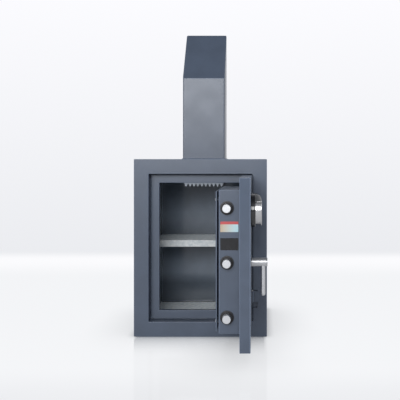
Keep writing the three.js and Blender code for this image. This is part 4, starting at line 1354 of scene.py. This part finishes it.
class SAFE_OT_lever(bpy.types.Operator):
    """Build the lever handle on its turned hub"""
    bl_idname = "safe.lever"
    bl_label = "Lever"

    def execute(self, context):
        radius = 0.0135
        groove = 0.0129
        corners = [
            (0, 0.0003), (radius, 0.0003), (radius, 0.0455), (groove, 0.0458), (groove, 0.0466),
            (radius, 0.0469), (radius, 0.050), (0, 0.0503),
        ]
        radii = [0, 0.0006, 0.0003, 0.0002, 0.0002, 0.0003, 0.0012, 0]
        hub = turned_out(corners, radii, HANDLE[2], 96, "poles", 4)
        put("lever_hub", hub, bright_steel, "handle", ["lever_handle"])
        put("lever_arm", self.arm(context.scene.safe_sizes.lever_square), lever_steel, "handle")
        return {"FINISHED"}

    def arm(self, power):
        """Lever: squared ovals stacked downwards, wider and thicker, drawn in on a quarter arc at the end."""
        straight = 0.094
        end = 0.008
        close = 0.006
        tip_fall = straight + end * np.sin(np.linspace(0, QUARTER, 10)[1:])
        fall = np.concatenate([np.linspace(0.0, straight, 24), tip_fall])
        share = fall / 0.102
        width = 0.009 + 0.003 * share
        thick = 0.0070 + 0.0004 * share
        tip = np.clip((fall - straight) / end, 0, 1)
        drawn_in = 1 - np.sqrt(np.clip(1 - tip ** 2, 0.0, 1))
        half_width = width - close * drawn_in
        half_thick = thick - np.minimum(close, thick * 0.999) * drawn_in * 0.75
        angle = np.linspace(0, FULL, 64, endpoint=False)
        across, out = (np.sign(wave) * np.abs(wave) ** power for wave in (np.cos(angle), np.sin(angle)))
        grid = np.stack([
            half_width[:, None] * across,
            0.0362 + half_thick[:, None] * out,
            np.repeat(-fall[:, None], len(angle), 1),
        ], -1)
        return outwards(loft(grid), HANDLE[2])


class SAFE_OT_labels(bpy.types.Operator):
    """Lay the two blank labels on the side of the boltwork housing"""
    bl_idname = "safe.labels"
    bl_label = "Labels"

    def execute(self, context):
        sizes = context.scene.safe_sizes
        self.label("pale_label", UPPER_LABEL_Z, sizes.label_width, sizes.red_label_height, pale_stock)
        self.label("black_label", LOWER_LABEL_Z, sizes.label_width, sizes.black_label_height, black_stock)
        return {"FINISHED"}

    def label(self, name, middle_z, wide, tall, look):
        """A thin sheet with rounded corners that lies on the housing's free side."""
        x, y, _ = door_span("boltwork_housing")
        half = (wide / 2, tall / 2)
        inside = 0.004
        under = x[0]
        top = under - 0.0003
        outline = [(inside, under), (0, under), (0, top), (inside, top)]
        grid = rectangles(outline, half, ((y[0] + y[1]) / 2, middle_z), 0.0015)
        put(name, loft(grid[..., [1, 0, 2]]), look, "door")


# Stage


class SAFE_OT_stage(bpy.types.Operator):
    """Set the floor, the lights, the pale background and the camera"""
    bl_idname = "safe.stage"
    bl_label = "Stage"

    def execute(self, context):
        settings = context.scene.safe_stage
        self.floor(settings)
        self.softbox("front_softbox", (-0.85, -4.2, 1.81), (0.0, -0.1, 0.6), (2.6, 1.66), settings.key)
        low = self.softbox("low_softbox", (0.1, -2.0, 1.15), (0.0, 0.0, 0.25), (0.9, 0.5), settings.low)
        low.visible_glossy = False
        self.softbox("right_softbox", (2.4, -1.6, 1.7), (0.1, -0.3, 0.5), (1.2, 1.2), settings.fill)
        self.surroundings(settings)
        self.camera(settings)
        context.scene.view_settings.view_transform = "Standard"
        return {"FINISHED"}

    def floor(self, settings):
        """Floor: one flat sheet that ends behind the safe, pale of itself and shaded near the safe's foot."""
        reach = 6.0
        corners = [[-reach, -reach, 0.0], [reach, -reach, 0.0]]
        corners += [[reach, settings.floor_end, 0.0], [-reach, settings.floor_end, 0.0]]
        mesh = bpy.data.meshes.new("studio_floor")
        mesh.from_pydata(corners, [], [[0, 1, 2, 3]])
        floor = shown("studio_floor", mesh)
        material = bpy.data.materials.new("studio_floor")
        material.use_nodes = True
        tree = material.node_tree
        tree.nodes.clear()
        where = objects(tree)
        depth = axis_of(tree, where, "Y")
        path = add(tree, "ShaderNodeLightPath").outputs
        lit = add(tree, "ShaderNodeBsdfDiffuse", {"Color": shaded(settings.floor, 0.62)}).outputs[0]
        tone = self.floor_tone(tree, depth, settings)
        pale = add(tree, "ShaderNodeEmission", {"Color": tone, "Strength": 1.0}).outputs[0]
        mirrored = maths(tree, "MULTIPLY", path["Is Glossy Ray"], 0.5)
        seen = maths(tree, "MAXIMUM", path["Is Camera Ray"], mirrored)
        wide, near = (
            add(tree, "ShaderNodeAmbientOcclusion", {"Distance": distance}).outputs["AO"]
            for distance in (settings.contact, settings.contact / 7)
        )
        open_sky = maths(tree, "MULTIPLY", maths(tree, "POWER", wide, 0.5), maths(tree, "POWER", near, 0.85))
        share = maths(tree, "MULTIPLY", seen, maths(tree, "MULTIPLY", open_sky, settings.lift))
        sheet = add(tree, "ShaderNodeMixShader", {0: share, 1: lit, 2: pale}).outputs[0]
        gloss = add(tree, "ShaderNodeBsdfGlossy", {"Color": (1, 1, 1, 1), "Roughness": 0.07}).outputs[0]
        polish = maths(tree, "MULTIPLY", self.floor_gloss(tree, where, depth), path["Is Camera Ray"])
        coat = add(tree, "ShaderNodeMixShader", {0: polish, 1: sheet, 2: gloss})
        add(tree, "ShaderNodeOutputMaterial", {"Surface": coat.outputs[0]})
        mesh.materials.append(material)

    def floor_tone(self, tree, depth, settings):
        """Tone of the floor: palest far behind the safe, and darker at its end and close to the eye."""
        stop = settings.floor_end
        far = between(tree, depth, 0.0, 1.0, stop - 0.95, stop - 0.4, "SMOOTHSTEP")
        end = between(tree, depth, 0.0, 1.0, stop - 0.36, stop, "SMOOTHSTEP")
        fore = between(tree, depth, 1.0, 0.0, -0.8, -0.5, "SMOOTHSTEP")
        tone = blend(tree, far, shaded(settings.floor), FLOOR_FAR)
        return blend(tree, fore, blend(tree, end, tone, FLOOR_END), FLOOR_FORE)

    def floor_gloss(self, tree, where, depth):
        """Mirror gloss in front of the safe, seen flat: strongest close to its front, and none behind it."""
        ahead = between(tree, depth, 0.0, 1.0, FRONT - 0.22, FRONT)
        aside = maths(tree, "ABSOLUTE", axis_of(tree, where, "X"))
        beside = between(tree, aside, 1.0, 0.0, BODY_HALF[0] - 0.012, BODY_HALF[0])
        close = maths(tree, "POWER", maths(tree, "MULTIPLY", ahead, beside), 2.0)
        to_safe = {0: where, 1: (0.0, -0.3, 0.0)}
        away = add(tree, "ShaderNodeVectorMath", to_safe, operation="DISTANCE").outputs["Value"]
        distant = between(tree, away, 0.05, 0.0, 0.45, 0.9, "SMOOTHSTEP")
        polish = maths(tree, "MULTIPLY_ADD", close, 0.6, distant)
        facing = add(tree, "ShaderNodeLayerWeight", {"Blend": 0.5}).outputs["Facing"]
        behind = between(tree, depth, 1.0, 0.0, FRONT, REAR)
        flat_look = between(tree, facing, 0.0, 1.0, 0.15, 0.65)
        return maths(tree, "MULTIPLY", maths(tree, "MULTIPLY", polish, behind), flat_look)

    def softbox(self, name, place, aim, size, power):
        """A soft rectangular light at a place, turned towards its aim."""
        lamp = bpy.data.lights.new(name, "AREA")
        lamp.shape = "RECTANGLE"
        lamp.size, lamp.size_y = size
        lamp.energy = power
        box = shown(name, lamp)
        box.location = place
        box.rotation_mode = "QUATERNION"
        box.rotation_quaternion = (Vector(aim) - Vector(place)).to_track_quat("-Z", "Y")
        return box

    def surroundings(self, settings):
        """Room: even light on the object; for the eye and gloss a pale wall, grey ceiling and dark zenith."""
        world = bpy.data.worlds.new("pale_room")
        bpy.context.scene.world = world
        world.use_nodes = True
        tree = world.node_tree
        tree.nodes.clear()
        where = add(tree, "ShaderNodeTexCoord").outputs["Generated"]
        up = axis_of(tree, where, "Z")
        path = add(tree, "ShaderNodeLightPath").outputs
        wall = blend(tree, between(tree, up, 0.0, 1.0, -0.15, 0.25), WALL_LOW, WALL_HIGH)
        room = blend(tree, between(tree, up, 0.0, 1.0, 0.35, 0.8), wall, CEILING)
        room = blend(tree, between(tree, up, 0.0, 1.0, 0.78, 0.95), room, ZENITH)
        front = between(tree, axis_of(tree, where, "Y"), 1.0, 0.0, 0.3, 0.9)
        mirrored = blend(tree, front, room, MIRRORED_FRONT, "DARKEN")
        colour = blend(tree, path["Is Camera Ray"], mirrored, room)
        seen = add(tree, "ShaderNodeBackground", {"Color": colour, "Strength": 1.0}).outputs[0]
        soft = blend(tree, between(tree, up, 0.0, 1.0, 0.3, 0.8), EVEN_LOW, EVEN_HIGH)
        even = add(tree, "ShaderNodeBackground", {"Color": soft, "Strength": settings.sky}).outputs[0]
        eye = maths(tree, "MAXIMUM", path["Is Camera Ray"], path["Is Glossy Ray"])
        mixed = add(tree, "ShaderNodeMixShader", {0: eye, 1: even, 2: seen})
        add(tree, "ShaderNodeOutputWorld", {"Surface": mixed.outputs[0]})

    def camera(self, settings):
        """Camera: level, looking along +Y, framed by its shift."""
        lens = bpy.data.cameras.new("camera")
        lens.lens = settings.lens
        lens.shift_x, lens.shift_y = settings.shift
        camera = shown("camera", lens)
        camera.location = settings.place
        camera.rotation_euler = (QUARTER, 0, 0)
        bpy.context.scene.camera = camera


class SAFE_PT_panel(bpy.types.Panel):
    """Lists the safe's pieces and settings in the sidebar"""
    bl_idname = "SAFE_PT_panel"
    bl_label = "Gooseneck Safe"
    bl_space_type = "VIEW_3D"
    bl_region_type = "UI"
    bl_category = "Safe"

    def draw(self, context):
        for operator in OPERATORS:
            self.layout.operator(operator.bl_idname)
        for settings in (context.scene.safe_sizes, context.scene.safe_finishes, context.scene.safe_stage):
            for name in settings.bl_rna.properties.keys():
                if name not in ("rna_type", "name"):
                    self.layout.prop(settings, name)


OPERATORS = (
    SAFE_OT_body, SAFE_OT_neck, SAFE_OT_flap, SAFE_OT_shelf, SAFE_OT_hinges, SAFE_OT_door, SAFE_OT_boltwork,
    SAFE_OT_dial, SAFE_OT_lever, SAFE_OT_labels, SAFE_OT_stage,
)
SETTINGS = {"safe_sizes": SafeSizes, "safe_finishes": SafeFinishes, "safe_stage": SafeStage}


def register():
    for made in (*SETTINGS.values(), *OPERATORS, SAFE_PT_panel):
        bpy.utils.register_class(made)
    for name, group in SETTINGS.items():
        setattr(bpy.types.Scene, name, bpy.props.PointerProperty(type=group))


def unregister():
    for name in SETTINGS:
        delattr(bpy.types.Scene, name)
    for made in (SAFE_PT_panel, *reversed(OPERATORS), *SETTINGS.values()):
        bpy.utils.unregister_class(made)


def main():
    """Registers the add-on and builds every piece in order."""
    register()
    bpy.ops.safe.body()
    bpy.ops.safe.neck()
    bpy.ops.safe.flap()
    bpy.ops.safe.shelf()
    bpy.ops.safe.hinges()
    bpy.ops.safe.door()
    bpy.ops.safe.boltwork()
    bpy.ops.safe.dial()
    bpy.ops.safe.lever()
    bpy.ops.safe.labels()
    bpy.ops.safe.stage()


if __name__ == "__main__":
    main()
